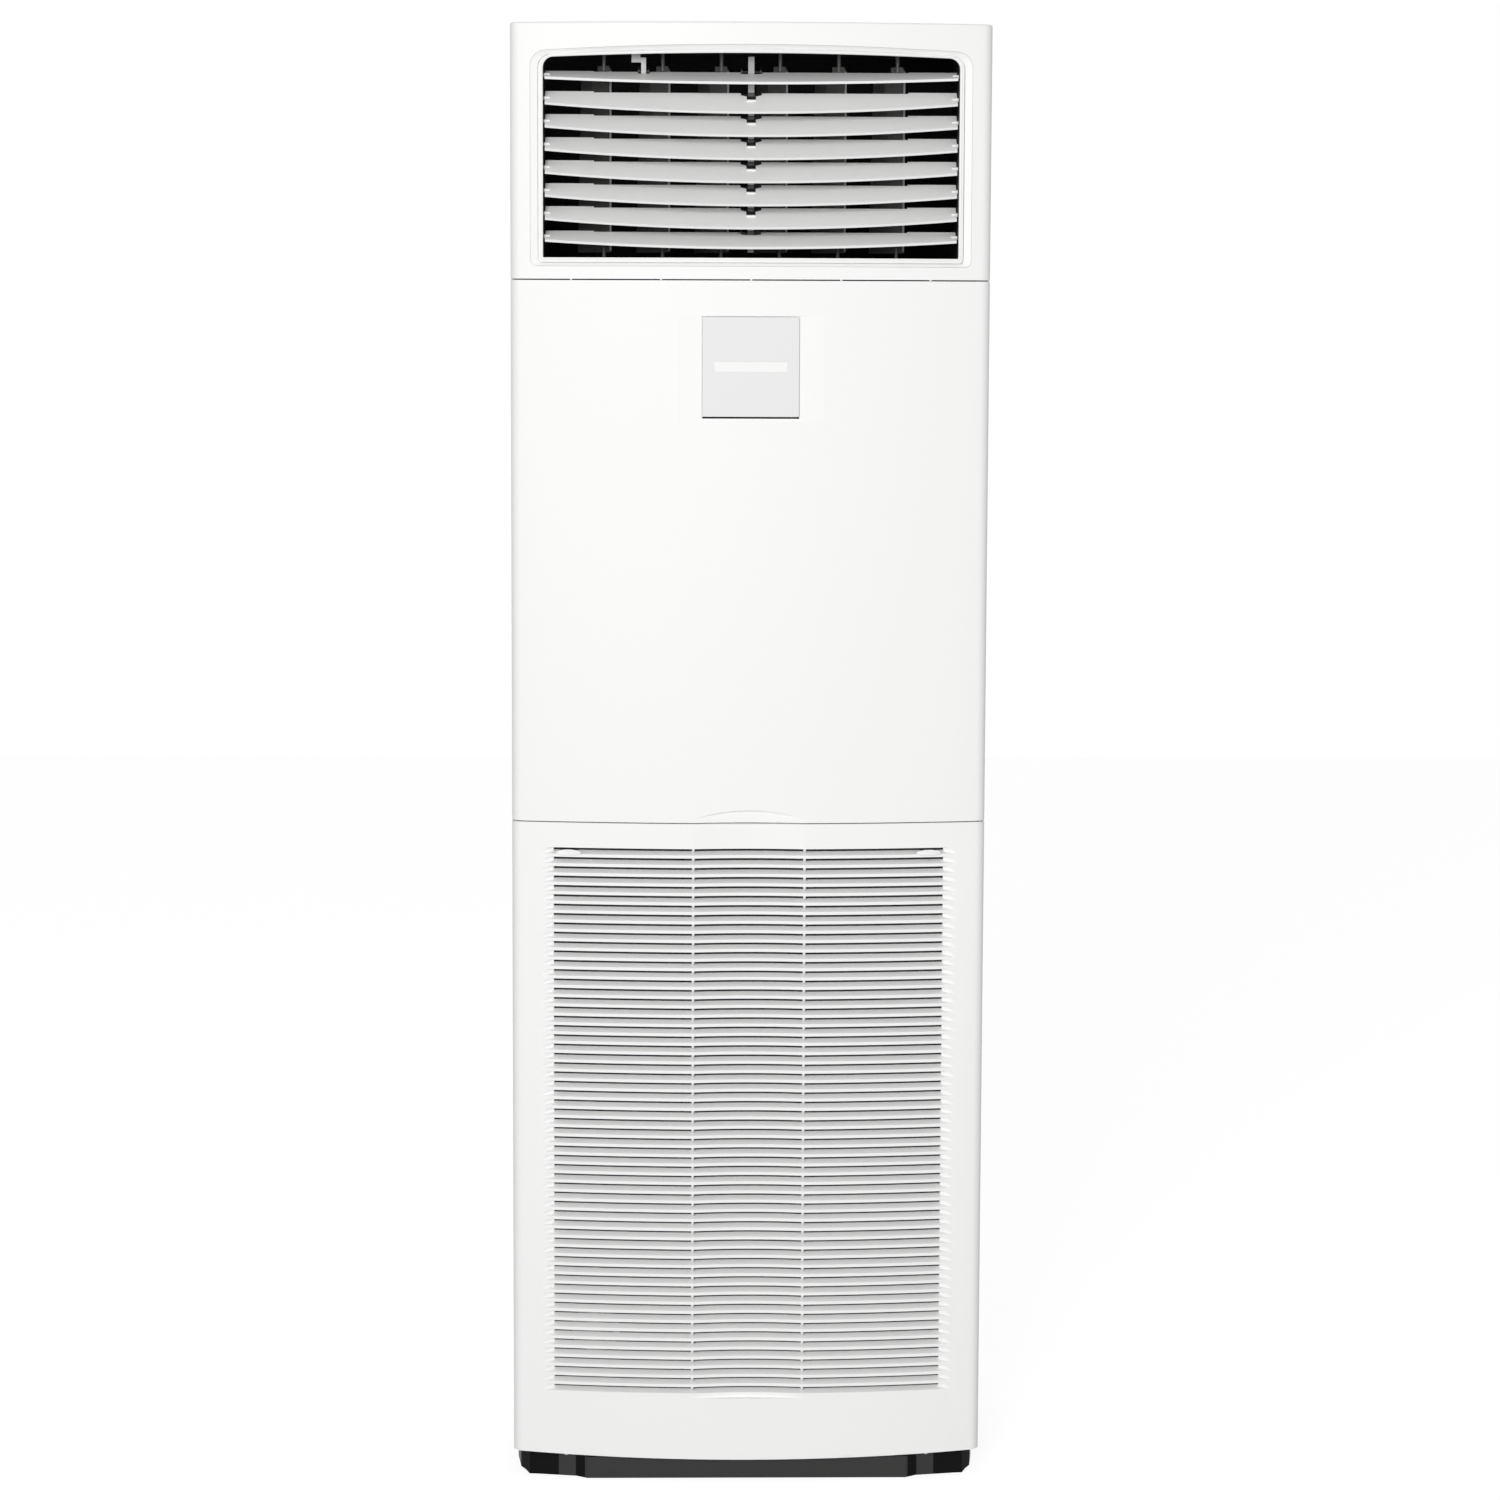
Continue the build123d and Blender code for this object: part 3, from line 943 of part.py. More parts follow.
def plinth_screw_place(side):
    """Location on the slanted facet beside the plinth's front, with local Y along the screw."""
    (inward0, back0), (inward1, back1) = PLINTH_STEPS[1:3]
    share = (PLINTH_SCREW_INSET - inward0) / (inward1 - inward0)
    turn = degrees(atan2(back1 - back0, inward0 - inward1))
    y = PLINTH_FRONT_Y + back0 + share * (back1 - back0)
    return Pos(side * (HALF_WIDTH - PLINTH_SCREW_INSET), y, PLINTH_SCREW_Z) * Rot(0, 0, side * turn)


def base_plate():
    """Steel floor on the plinth, turned up along both sides where the side panels screw on."""
    x1 = SIDE_INNER_X
    z0 = PLINTH_HEIGHT
    front = SIDE_FRONT_Y + SHEET + BASE_FLANGE
    plate = upright(plinth_outline(0), z0, z0 + BASE_SHEET)
    plate += block(-x1, x1, front, REAR_INNER_Y, z0, z0 + BASE_SHEET)
    for side in (-1, 1):
        inner, outer = sorted((side * x1, side * (x1 - BASE_SHEET)))
        plate += block(inner, outer, front, REAR_INNER_Y - SIDE_FLANGE, z0, z0 + BASE_FLANGE)
    return plate - rod_z(SPIGOT_X, SPIGOT_Y, z0 - 1, z0 + 3, HOSE_OUTER_RADIUS + 1)


def side_panel(side):
    """Bent steel side: outer sheet with a flange at the front and one at the rear."""
    x0, x1 = SIDE_INNER_X, HALF_WIDTH
    panel = block(x0, x1, SIDE_FRONT_Y, REAR_FACE_Y, SIDE_BOTTOM_Z, SIDE_TOP_Z)
    low = PLINTH_HEIGHT + BASE_SHEET
    panel += block(x0 - SIDE_FLANGE, x0, REAR_INNER_Y - SHEET, REAR_INNER_Y, low, SIDE_TOP_Z)
    panel += block(x0 - SIDE_FLANGE, x0, SIDE_FRONT_Y, SIDE_FRONT_Y + SHEET, low, SIDE_TOP_Z)
    return panel if side > 0 else mirror(panel, about=Plane.YZ)


def rear_screw_places():
    x = SIDE_INNER_X - REAR_SCREW_INSET
    low, high = PLINTH_HEIGHT + 40, SIDE_TOP_Z - 40
    step = (high - low) / (REAR_SCREW_ROWS - 1)
    return [(side * x, low + row * step) for side in (-1, 1) for row in range(REAR_SCREW_ROWS)]


def rear_panel():
    x1 = SIDE_INNER_X
    panel = block(-x1, x1, REAR_INNER_Y, REAR_FACE_Y, PLINTH_HEIGHT, SIDE_TOP_Z)
    holes = [rod_y(PIPE_HOLE_X, REAR_INNER_Y - 1, REAR_FACE_Y + 1, PIPE_HOLE_Z, PIPE_HOLE_RADIUS)]
    for x in (-WALL_STRAP_SPACING / 2, WALL_STRAP_SPACING / 2):
        holes.append(rod_y(x, REAR_INNER_Y - 1, REAR_FACE_Y + 1, WALL_STRAP_Z, WALL_STRAP_HOLE_RADIUS))
    for x, z in rear_screw_places():
        holes.append(rod_y(x, REAR_INNER_Y - 1, REAR_FACE_Y + 1, z, SCREW_HOLE_RADIUS))
    return panel - holes


def drill_side_flange(panel, side):
    for x, z in rear_screw_places():
        if x * side > 0:
            panel -= rod_y(x, REAR_INNER_Y - SHEET - 1, REAR_INNER_Y + 1, z, SCREW_HOLE_RADIUS)
    return panel


def cabinet_screws():
    """Equal screws: ten through the rear panel and two in the plinth's front."""
    head = rod_y(0, -SCREW_HEAD_HEIGHT, 0, 0, SCREW_HEAD_RADIUS)
    long, short = SCREW_SLOT_LENGTH / 2, SCREW_SLOT_WIDTH / 2
    y0, y1 = -SCREW_HEAD_HEIGHT - 1, -SCREW_HEAD_HEIGHT / 2
    head -= block(-short, short, y0, y1, -long, long) + block(-long, long, y0, y1, -short, short)
    one = head + rod_y(0, 0, SCREW_LENGTH, 0, SCREW_SHANK_RADIUS)
    places = [Pos(x, REAR_FACE_Y, z) * Rot(0, 0, 180) for x, z in rear_screw_places()]
    places += [plinth_screw_place(side) for side in (-1, 1)]
    return Compound([place * one for place in places])


def top_cover():
    x1 = HALF_WIDTH
    cover = block(-x1, x1, SIDE_FRONT_Y, REAR_FACE_Y, SIDE_TOP_Z, HEIGHT)
    rounded = [e for e in cover.edges().group_by(Axis.Z)[-1] if e.center().Y > SIDE_FRONT_Y + 1]
    cover = fillet(rounded, TOP_EDGE_RADIUS)
    w = TOP_COVER_WALL
    cover -= block(-x1 + w, x1 - w, SIDE_FRONT_Y + w, REAR_FACE_Y - w, SIDE_TOP_Z - 1, HEIGHT - w)
    return cover - block(-x1 + w, x1 - w, SIDE_FRONT_Y - 1, SIDE_FRONT_Y + w + 1, SIDE_TOP_Z - 1,
                         HEIGHT - TOP_COVER_LIP)


# ---------------------------------------------------------------- deck and coil room
def fan_deck():
    z0, z1 = DECK_Z, DECK_TOP_Z
    x1 = SIDE_INNER_X - SIDE_FLANGE - SEAT_GAP
    deck = block(-SIDE_INNER_X, SIDE_INNER_X, SIDE_FRONT_Y + SHEET, REAR_INNER_Y - SHEET, z0, z1)
    deck += block(-x1, x1, REAR_INNER_Y - SHEET - 1, REAR_INNER_Y, z0, z1)
    holes = [block(SCROLL_OUTLET_LEFT_X, SCROLL_OUTLET_RIGHT_X, SCROLL_FRONT_Y, SCROLL_BACK_Y,
                   z0 - 1, z1 + 1),
             rod_z(GAS_X, PIPE_Y, z0 - 1, z1 + 1, GAS_RADIUS + SEAT_GAP),
             rod_z(LIQUID_X, PIPE_Y, z0 - 1, z1 + 1, LIQUID_RADIUS + SEAT_GAP),
             rod_z(SPIGOT_X, SPIGOT_Y, z0 - 1, z1 + 1, SPIGOT_RADIUS + SEAT_GAP)]
    return deck - holes


def drain_pan():
    z0 = DECK_TOP_Z
    z1 = z0 + PAN_HEIGHT
    pan = block(-PAN_HALF_WIDTH, PAN_HALF_WIDTH, PAN_FRONT_Y, PAN_BACK_Y, z0, z1)
    w = PAN_WALL
    pan -= block(-PAN_HALF_WIDTH + w, PAN_HALF_WIDTH - w, PAN_FRONT_Y + w, PAN_BACK_Y - w, z0 + w, z1 + 1)
    pan += rod_z(SPIGOT_X, SPIGOT_Y, SPIGOT_END_Z, z0 + w, SPIGOT_RADIUS)
    return pan - rod_z(SPIGOT_X, SPIGOT_Y, SPIGOT_END_Z - 1, z0 + w + 1, SPIGOT_BORE)


def drain_hose():
    """Hose pushed over the pan's spigot, down through the base plate."""
    hose = rod_z(SPIGOT_X, SPIGOT_Y, HOSE_END_Z, HOSE_TOP_Z, HOSE_OUTER_RADIUS)
    return hose - rod_z(SPIGOT_X, SPIGOT_Y, HOSE_END_Z - 1, HOSE_TOP_Z + 1, SPIGOT_RADIUS + RUNNING_GAP)


def air_channel_liner():
    """Foam walls of the coil room: two sides, a back and a roof."""
    x0, x1 = LINER_INNER_X, LINER_OUTER_X
    z0, z1 = DECK_TOP_Z, DUCT_TOP_Z + DUCT_WALL + DUCT_FLANGE_MARGIN_TOP
    back0, back1 = LINER_BACK_Y - LINER_WALL, LINER_BACK_Y
    front = SIDE_FRONT_Y + SHEET + SEAT_GAP
    liner = block(-x1, x1, front, back1, z0, z1)
    liner -= block(-x0, x0, front - 1, back0, z0 - 1, z1 - LINER_WALL)
    liner -= block(-x1 - 1, x1 + 1, front - 1, DUCT_BACK_Y, DUCT_BOTTOM_Z - DUCT_WALL, z1 + 1)
    x_flange = SIDE_INNER_X - SIDE_FLANGE - SEAT_GAP
    for side in (-1, 1):
        inner, outer = sorted((side * x_flange, side * (x1 + 1)))
        liner -= block(inner, outer, REAR_FACE_Y - SCREW_LENGTH - SEAT_GAP, back1 + 1, z0 - 1, z1 + 1)
    return liner


def front_baffle():
    """Foam wall between the coil room and the middle panel, up to the duct."""
    x1 = SIDE_INNER_X - SIDE_FLANGE - SEAT_GAP
    y1 = BAFFLE_FRONT_Y + BAFFLE_THICKNESS
    return block(-x1, x1, BAFFLE_FRONT_Y, y1, DECK_TOP_Z, SHELF_Z)


def coil_place():
    """Location of the coil's foot, with local Z along the coil."""
    return Pos(0, COIL_FOOT_Y, COIL_FOOT_Z) * Rot(-COIL_LEAN, 0, 0)


def evaporator_fins():
    """Fin block: upright fins with open gaps, joined along both ends."""
    half = COIL_THICKNESS / 2
    body = block(-COIL_HALF_WIDTH, COIL_HALF_WIDTH, -half, half, 0, COIL_LENGTH)
    count = int((2 * COIL_HALF_WIDTH - FIN_THICKNESS) // FIN_PITCH)
    gaps = []
    for i in range(count):
        x = (i - (count - 1) / 2) * FIN_PITCH
        gap = (FIN_PITCH - FIN_THICKNESS) / 2
        gaps.append(block(x - gap, x + gap, -half - 1, half + 1, FIN_BORDER, COIL_LENGTH - FIN_BORDER))
    return coil_place() * (body - gaps)


def evaporator_end_plates():
    half = COIL_THICKNESS / 2 + END_PLATE_MARGIN
    x0, x1 = COIL_HALF_WIDTH, COIL_HALF_WIDTH + END_PLATE_SHEET
    plates = []
    strap_z = COIL_LENGTH * END_STRAP_SHARE
    for side in (-1, 1):
        inner, outer = sorted((side * x0, side * x1))
        plate = block(inner, outer, -half, half, -END_PLATE_MARGIN, COIL_LENGTH + END_PLATE_MARGIN)
        inner, reach = sorted((side * x0, side * LINER_INNER_X))
        plate += block(inner, reach, -half - END_PLATE_SHEET, -half, strap_z,
                       strap_z + END_STRAP_HEIGHT)
        plate = coil_place() * plate
        inner, outer = sorted((side * x0, side * x1))
        foot = block(inner, outer, COIL_FOOT_Y - END_FOOT_WIDTH / 2, COIL_FOOT_Y + END_FOOT_WIDTH / 2,
                     DECK_TOP_Z + PAN_WALL, COIL_FOOT_Z + 10)
        plates.append(plate + foot)
    return Compound(plates)


def evaporator_return_bends():
    """Half rings of tube that join the coil's tubes at both ends, two rows deep."""
    bends = []
    rows = (-COIL_THICKNESS / 4, COIL_THICKNESS / 4)
    count = int(COIL_LENGTH // (2 * TUBE_PITCH))
    x = COIL_HALF_WIDTH + END_PLATE_SHEET
    for side in (-1, 1):
        for row in rows:
            for i in range(count):
                z = TUBE_PITCH * (2 * i + 1)
                ring = Torus(TUBE_PITCH / 2, TUBE_RADIUS, major_angle=180, align=Align.NONE)
                ring = Rot(0, 0, -90) * ring if side > 0 else Rot(0, 0, 90) * ring
                bends.append(coil_place() * Pos(side * x, row, z) * Rot(90, 0, 0) * ring)
    return Compound(bends)


def pipe(points, radius, bend):
    """Round tube along straight runs with equal bends."""
    path = FilletPolyline(*points, radius=bend)
    start = Plane(origin=points[0], z_dir=path % 0)
    return sweep(start * (Circle(radius) - Circle(radius - TUBE_WALL)), path=path)


def pipe_start(row):
    """Where a pipe leaves the left end plate, between two return bends: its y and z."""
    lean = radians(COIL_LEAN)
    along = 2 * TUBE_PITCH * row
    return (COIL_FOOT_Y + PIPE_LOCAL_Y * cos(lean) + along * sin(lean),
            COIL_FOOT_Z - PIPE_LOCAL_Y * sin(lean) + along * cos(lean))


def gas_pipe():
    x0 = -COIL_HALF_WIDTH - END_PLATE_SHEET
    y, z = pipe_start(GAS_TUBE_ROW)
    points = [(x0, y, z), (GAS_X, y, z), (GAS_X, PIPE_Y, z - GAS_DROP),
              (GAS_X, PIPE_Y, PIPE_END_Z)]
    return pipe(points, GAS_RADIUS, GAS_BEND)


def liquid_pipe():
    x0 = -COIL_HALF_WIDTH - END_PLATE_SHEET
    y, z = pipe_start(LIQUID_TUBE_ROW)
    points = [(x0, y, z), (LIQUID_SIDE_X, y, z), (LIQUID_SIDE_X, y + LIQUID_RUN, z),
              (LIQUID_X, PIPE_Y, z - LIQUID_DROP), (LIQUID_X, PIPE_Y, PIPE_END_Z)]
    return pipe(points, LIQUID_RADIUS, LIQUID_BEND)


def flare_nuts():
    nuts = []
    for x, radius in ((GAS_X, GAS_RADIUS), (LIQUID_X, LIQUID_RADIUS)):
        low = PIPE_END_Z + NUT_GRIP - NUT_HEIGHT
        nut = Pos(x, PIPE_Y, low) * extrude(RegularPolygon(radius + NUT_WALL, 6), NUT_HEIGHT)
        nut -= rod_z(x, PIPE_Y, low - 1, PIPE_END_Z + NUT_GRIP + 1, radius + NUT_FIT)
        nuts.append(nut - rod_z(x, PIPE_Y, low - 1, PIPE_END_Z, radius + THREAD_STEP))
    return Compound(nuts)


# ---------------------------------------------------------------- fan
def scroll_face():
    """Air space of the scroll in X and Z, round the fan axis, with its mouth upwards."""
    a = SCROLL_STEP / 2
    r1 = SCROLL_START_RADIUS
    r2, r3 = r1 + SCROLL_STEP, r1 + 2 * SCROLL_STEP
    c1, c2, c3 = (-a, -a), (a, -a), (a, a)
    half = sqrt(0.5)
    top = (c1[0], c1[1] + r1)
    left = (c1[0] - r1, c1[1])
    bottom = (c2[0], c2[1] - r2)
    right = (c3[0] + r3, c3[1])
    mouth = DECK_Z - FAN_Z
    tongue = (c1[0] + TONGUE_FLAT, top[1])
    turn = (tongue[0] + TONGUE_RADIUS, tongue[1] + TONGUE_RADIUS)
    bend = TONGUE_RADIUS * half
    lines = [ThreePointArc(top, (c1[0] - r1 * half, c1[1] + r1 * half), left),
             ThreePointArc(left, (c2[0] - r2 * half, c2[1] - r2 * half), bottom),
             ThreePointArc(bottom, (c3[0] + r3 * half, c3[1] - r3 * half), right),
             Line(right, (right[0], mouth)), Line((right[0], mouth), (turn[0], mouth)),
             Line((turn[0], mouth), turn),
             ThreePointArc(turn, (tongue[0] + bend, turn[1] - bend), tongue),
             Line(tongue, top)]
    return Pos(0, FAN_Z) * make_face(lines)


def scroll_wall():
    inner = scroll_face()
    outer = offset(inner, amount=SCROLL_SHEET, kind=Kind.INTERSECTION)
    wall = through(outer, SCROLL_FRONT_Y, SCROLL_BACK_Y) - through(inner, SCROLL_FRONT_Y, SCROLL_BACK_Y)
    return wall - block(-HALF_WIDTH, HALF_WIDTH, SCROLL_FRONT_Y - 1, SCROLL_BACK_Y + 1, DECK_Z, HEIGHT)


def scroll_front_plate():
    outer = offset(scroll_face(), amount=SCROLL_FLANGE, kind=Kind.INTERSECTION)
    plate = through(outer, SCROLL_FRONT_Y - SCROLL_SHEET, SCROLL_FRONT_Y)
    plate -= block(-HALF_WIDTH, HALF_WIDTH, SCROLL_FRONT_Y - 5, SCROLL_FRONT_Y + 5, DECK_Z, HEIGHT)
    return plate - rod_y(0, SCROLL_FRONT_Y - 5, SCROLL_FRONT_Y + 5, FAN_Z, INLET_RADIUS)


def bell_mouth():
    """Rounded inlet ring, wide at the front plate and narrow at the impeller's eye."""
    flare = INLET_RADIUS - THROAT_RADIUS
    y0 = SCROLL_FRONT_Y - SCROLL_SHEET
    section = Polyline((INLET_RADIUS + 10, y0), (INLET_RADIUS + 10, y0 - BELL_WALL),
                       (INLET_RADIUS, y0 - BELL_WALL), (THROAT_RADIUS + flare / 3, y0 + 1),
                       (THROAT_RADIUS, y0 + BELL_LENGTH), (THROAT_RADIUS + BELL_WALL, y0 + BELL_LENGTH),
                       (THROAT_RADIUS + flare / 3 + BELL_WALL, y0 + 2), (INLET_RADIUS - 1, y0), close=True)
    ring = revolve(make_face(section), axis=Axis.Y, revolution_arc=360)
    return Pos(0, 0, FAN_Z) * ring


def scroll_back_plate():
    plate = block(-BACK_PLATE_HALF_WIDTH, BACK_PLATE_HALF_WIDTH, SCROLL_BACK_Y,
                  SCROLL_BACK_Y + SCROLL_SHEET, BACK_PLATE_BOTTOM_Z, DECK_Z)
    return plate - rod_y(0, SCROLL_BACK_Y - 1, SCROLL_BACK_Y + 5, FAN_Z, MOTOR_HOLE_RADIUS)


def fan_impeller():
    """Forward-curved blades between a front ring and a rear disc with its hub."""
    y0, y1 = IMPELLER_FRONT_Y, IMPELLER_BACK_Y
    r = IMPELLER_RADIUS
    body = rod_y(0, y1 - IMPELLER_DISC, y1, 0, r)
    ring = rod_y(0, y0, y0 + IMPELLER_RING_WIDTH, 0, r) \
        - rod_y(0, y0 - 1, y0 + IMPELLER_RING_WIDTH + 1, 0, r - IMPELLER_RING_WALL)
    body += ring
    body += rod_y(0, y1 - HUB_LENGTH, y1, 0, HUB_RADIUS)
    chord = r - IMPELLER_EYE_RADIUS
    middle = IMPELLER_EYE_RADIUS + chord / 2 - 1
    one = Pos(middle, (y0 + y1) / 2, 0) * Rot(0, IMPELLER_BLADE_ANGLE, 0) \
        * Box(chord - 2, y1 - y0 - 1, IMPELLER_BLADE_THICKNESS)
    body += [Rot(0, 360 / IMPELLER_BLADES * i, 0) * one for i in range(IMPELLER_BLADES)]
    body -= rod_y(0, y1 - HUB_LENGTH - 1, y1 + 1, 0, SHAFT_RADIUS)
    return Pos(0, 0, FAN_Z) * body


def fan_shaft():
    return rod_y(0, IMPELLER_BACK_Y - HUB_LENGTH, MOTOR_BACK_Y - MOTOR_SHAFT_STOP, FAN_Z, SHAFT_RADIUS)


def fan_motor():
    body = rod_y(0, MOTOR_FRONT_Y, MOTOR_BACK_Y, FAN_Z, MOTOR_RADIUS)
    body = chamfer(body.edges().filter_by(GeomType.CIRCLE), MOTOR_CHAMFER)
    end_y = MOTOR_BACK_Y - MOTOR_SHAFT_STOP + SEAT_GAP
    return body - rod_y(0, MOTOR_FRONT_Y - 1, end_y, FAN_Z, SHAFT_RADIUS + RUNNING_GAP)


def motor_bracket():
    """Cross of straps behind the motor, with a leg to the scroll's back plate on each arm."""
    y0, y1 = MOTOR_BACK_Y, MOTOR_BACK_Y + BRACKET_SHEET
    body = rod_y(0, y0, y1, 0, BRACKET_HUB_RADIUS)
    half = BRACKET_ARM_WIDTH / 2
    arm = block(0, BRACKET_REACH, y0, y1, -half, half)
    plate_y = SCROLL_BACK_Y + SCROLL_SHEET
    inner = BRACKET_REACH - BRACKET_SHEET
    leg = block(inner, BRACKET_REACH, plate_y, y1, -half, half)
    foot = block(inner, BRACKET_REACH + BRACKET_FOOT, plate_y, plate_y + BRACKET_SHEET, -half, half)
    one = arm + leg + foot
    body += [Rot(0, 45 + 360 / BRACKET_LEGS * i, 0) * one for i in range(BRACKET_LEGS)]
    return Pos(0, 0, FAN_Z) * body


# ---------------------------------------------------------------- control box
def control_box():
    outer = block(BOX_LEFT_X, BOX_RIGHT_X, BOX_FRONT_Y, SCROLL_BACK_Y, BOX_BOTTOM_Z, BOX_TOP_Z)
    w = BOX_WALL
    return outer - block(BOX_LEFT_X + w, BOX_RIGHT_X - w, BOX_FRONT_Y - 1, SCROLL_BACK_Y - w,
                         BOX_BOTTOM_Z + w, BOX_TOP_Z - w)


def control_box_cover():
    y1 = BOX_FRONT_Y
    lid = block(BOX_LEFT_X, BOX_RIGHT_X - 8, y1 - BOX_WALL, y1, BOX_BOTTOM_Z, BOX_TOP_Z)
    w = BOX_WALL + 0.2
    rim = block(BOX_LEFT_X + w, BOX_RIGHT_X - w - 8, y1, y1 + BOX_FLANGE, BOX_BOTTOM_Z + w, BOX_TOP_Z - w)
    inner = block(BOX_LEFT_X + 2 * w, BOX_RIGHT_X - 2 * w - 8, y1, y1 + BOX_FLANGE + 1,
                  BOX_BOTTOM_Z + 2 * w, BOX_TOP_Z - 2 * w)
    return lid + (rim - inner)


def control_board():
    """Circuit board on four posts, with its largest parts."""
    y1 = SCROLL_BACK_Y - BOX_WALL
    y0 = y1 - BOARD_OFFSET
    m = BOARD_MARGIN
    x0, x1 = BOX_LEFT_X + m, BOX_RIGHT_X - m
    z0, z1 = BOX_BOTTOM_Z + TERMINAL_HEIGHT + m, BOX_TOP_Z - m
    board = block(x0, x1, y0, y0 + BOARD_THICKNESS, z0, z1)
    for x in (x0 + 8, x1 - 8):
        for z in (z0 + 8, z1 - 8):
            board += rod_y(x, y0 + BOARD_THICKNESS, y1, z, 3)
    middle = (z0 + z1) / 2
    board += block(x0 + 20, x0 + 62, y0 - 34, y0, middle - 20, middle + 20)
    for i in range(4):
        board += rod_y(x0 + 90 + 22 * i, y0 - 22, y0, middle + 12, 7)
        board += block(x0 + 82 + 22 * i, x0 + 98 + 22 * i, y0 - 14, y0, middle - 30, middle - 14)
    return board


def terminal_block():
    x0 = BOX_LEFT_X + BOX_WALL + 12
    y1 = SCROLL_BACK_Y - BOX_WALL
    z0 = BOX_BOTTOM_Z + BOX_WALL
    body = block(x0, x0 + TERMINAL_WIDTH, y1 - TERMINAL_DEPTH, y1, z0, z0 + TERMINAL_HEIGHT)
    pitch = TERMINAL_WIDTH / TERMINAL_WAYS
    wells = [block(x0 + pitch * i + 1.5, x0 + pitch * (i + 1) - 1.5, y1 - TERMINAL_DEPTH - 1,
                   y1 - TERMINAL_DEPTH + 10, z0 + 4, z0 + TERMINAL_HEIGHT - 4)
             for i in range(TERMINAL_WAYS)]
    return body - wells


# ---------------------------------------------------------------- every node
def nodes():
    parts = {
        "base_plinth": base_plinth(), "base_plate": base_plate(),
        "left_side_panel": drill_side_flange(side_panel(-1), -1),
        "right_side_panel": drill_side_flange(side_panel(1), 1),
        "rear_panel": rear_panel(), "cabinet_screws": cabinet_screws(),
        "top_cover": top_cover(), "outlet_panel": outlet_panel(), "middle_panel": middle_panel(),
        "display_plate": display_plate(), "name_strip": name_strip(),
        "outlet_duct": outlet_duct(), "air_channel_liner": air_channel_liner(),
        "front_baffle": front_baffle(), "fan_deck": fan_deck(), "drain_pan": drain_pan(),
        "drain_hose": drain_hose(), "evaporator_fins": evaporator_fins(),
        "evaporator_end_plates": evaporator_end_plates(),
        "evaporator_return_bends": evaporator_return_bends(),
        "gas_pipe": gas_pipe(), "liquid_pipe": liquid_pipe(), "flare_nuts": flare_nuts(),
        "scroll_wall": scroll_wall(), "scroll_front_plate": scroll_front_plate(),
        "scroll_back_plate": scroll_back_plate(), "bell_mouth": bell_mouth(),
        "fan_motor": fan_motor(), "motor_bracket": motor_bracket(),
        "control_box": control_box(), "control_box_cover": control_box_cover(),
        "control_board": control_board(), "terminal_block": terminal_block(),
        "louvre_motor": louvre_motor(), "vane_motor": vane_motor(),
        "fan_impeller": fan_impeller(), "fan_shaft": fan_shaft(),
        "intake_grille": intake_grille(), "latch_tab_left": latch_tab(-1),
        "latch_tab_right": latch_tab(1), "filter_frame": filter_frame(), "filter_net": filter_net(),
        "louvre_link_bar": louvre_link_bar(), "louvre_drive_arm": louvre_drive_arm(),
        "louvre_crank": louvre_crank(), "vane_link_rod": vane_link_rod(),
    }
    for index in range(LOUVRE_COUNT):
        parts[f"louvre_{index + 1}"] = louvre(index)
    for index in range(VANE_COUNT):
        parts[f"vane_{index + 1}"] = vane(index)
    return parts


if __name__ == "__main__":
    os.makedirs("parts", exist_ok=True)
    for name, shape in nodes().items():
        export_step(shape, f"parts/{name}.step")
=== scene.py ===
import json
from math import atan2, cos, pi, radians, sin, sqrt

import bmesh
import bpy
from mathutils import Matrix, Vector


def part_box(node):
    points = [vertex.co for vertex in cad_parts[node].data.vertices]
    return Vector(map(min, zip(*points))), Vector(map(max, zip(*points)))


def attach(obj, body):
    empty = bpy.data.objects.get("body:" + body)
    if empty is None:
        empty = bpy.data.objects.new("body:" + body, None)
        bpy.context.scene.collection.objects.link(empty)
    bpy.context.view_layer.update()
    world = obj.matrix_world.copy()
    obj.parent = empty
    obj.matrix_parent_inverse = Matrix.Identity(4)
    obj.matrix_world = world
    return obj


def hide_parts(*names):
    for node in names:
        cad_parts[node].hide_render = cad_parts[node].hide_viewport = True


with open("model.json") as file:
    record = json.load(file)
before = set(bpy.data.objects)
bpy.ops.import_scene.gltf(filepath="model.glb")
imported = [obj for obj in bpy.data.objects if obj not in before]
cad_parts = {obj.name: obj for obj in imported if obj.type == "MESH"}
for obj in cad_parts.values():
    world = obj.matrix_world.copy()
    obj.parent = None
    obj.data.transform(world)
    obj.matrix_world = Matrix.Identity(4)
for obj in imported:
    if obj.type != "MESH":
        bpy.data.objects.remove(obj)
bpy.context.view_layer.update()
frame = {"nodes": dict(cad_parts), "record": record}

# Floor standing air conditioner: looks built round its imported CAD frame.
# Metres, +X to the right seen from the front, -Y to the front, +Z up.

bl_info = {
    "name": "Floor standing air conditioner",
    "version": (1, 0, 0),
    "blender": (4, 5, 0),
    "location": "View3D > Sidebar > Air conditioner",
    "description": "Dresses the cabinet, its grille, louvres and inner pieces in their finishes",
    "category": "Object",
}

MM = 0.001
MERGE, SEAL = 0.002 * MM, 0.001 * MM  # points of a copy, or of a piece, nearer than this are one
SHARP = 30.0  # degrees over which an edge stays sharp
NODES = frame["nodes"]
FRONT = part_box("outlet_panel")
SLOT_OF = {part["node"]: part["material_slot"] for part in frame["record"]["subparts"]}
BODY_OF = {node: body for body, members in frame["record"]["behaviour"]["bodies"].items()
           for node in members}


def linear(code):
    """Linear colour of an sRGB hex value."""
    channels = [int(code[i:i + 2], 16) / 255 for i in (0, 2, 4)]
    return [c / 12.92 if c <= 0.04045 else ((c + 0.055) / 1.055) ** 2.4 for c in channels]


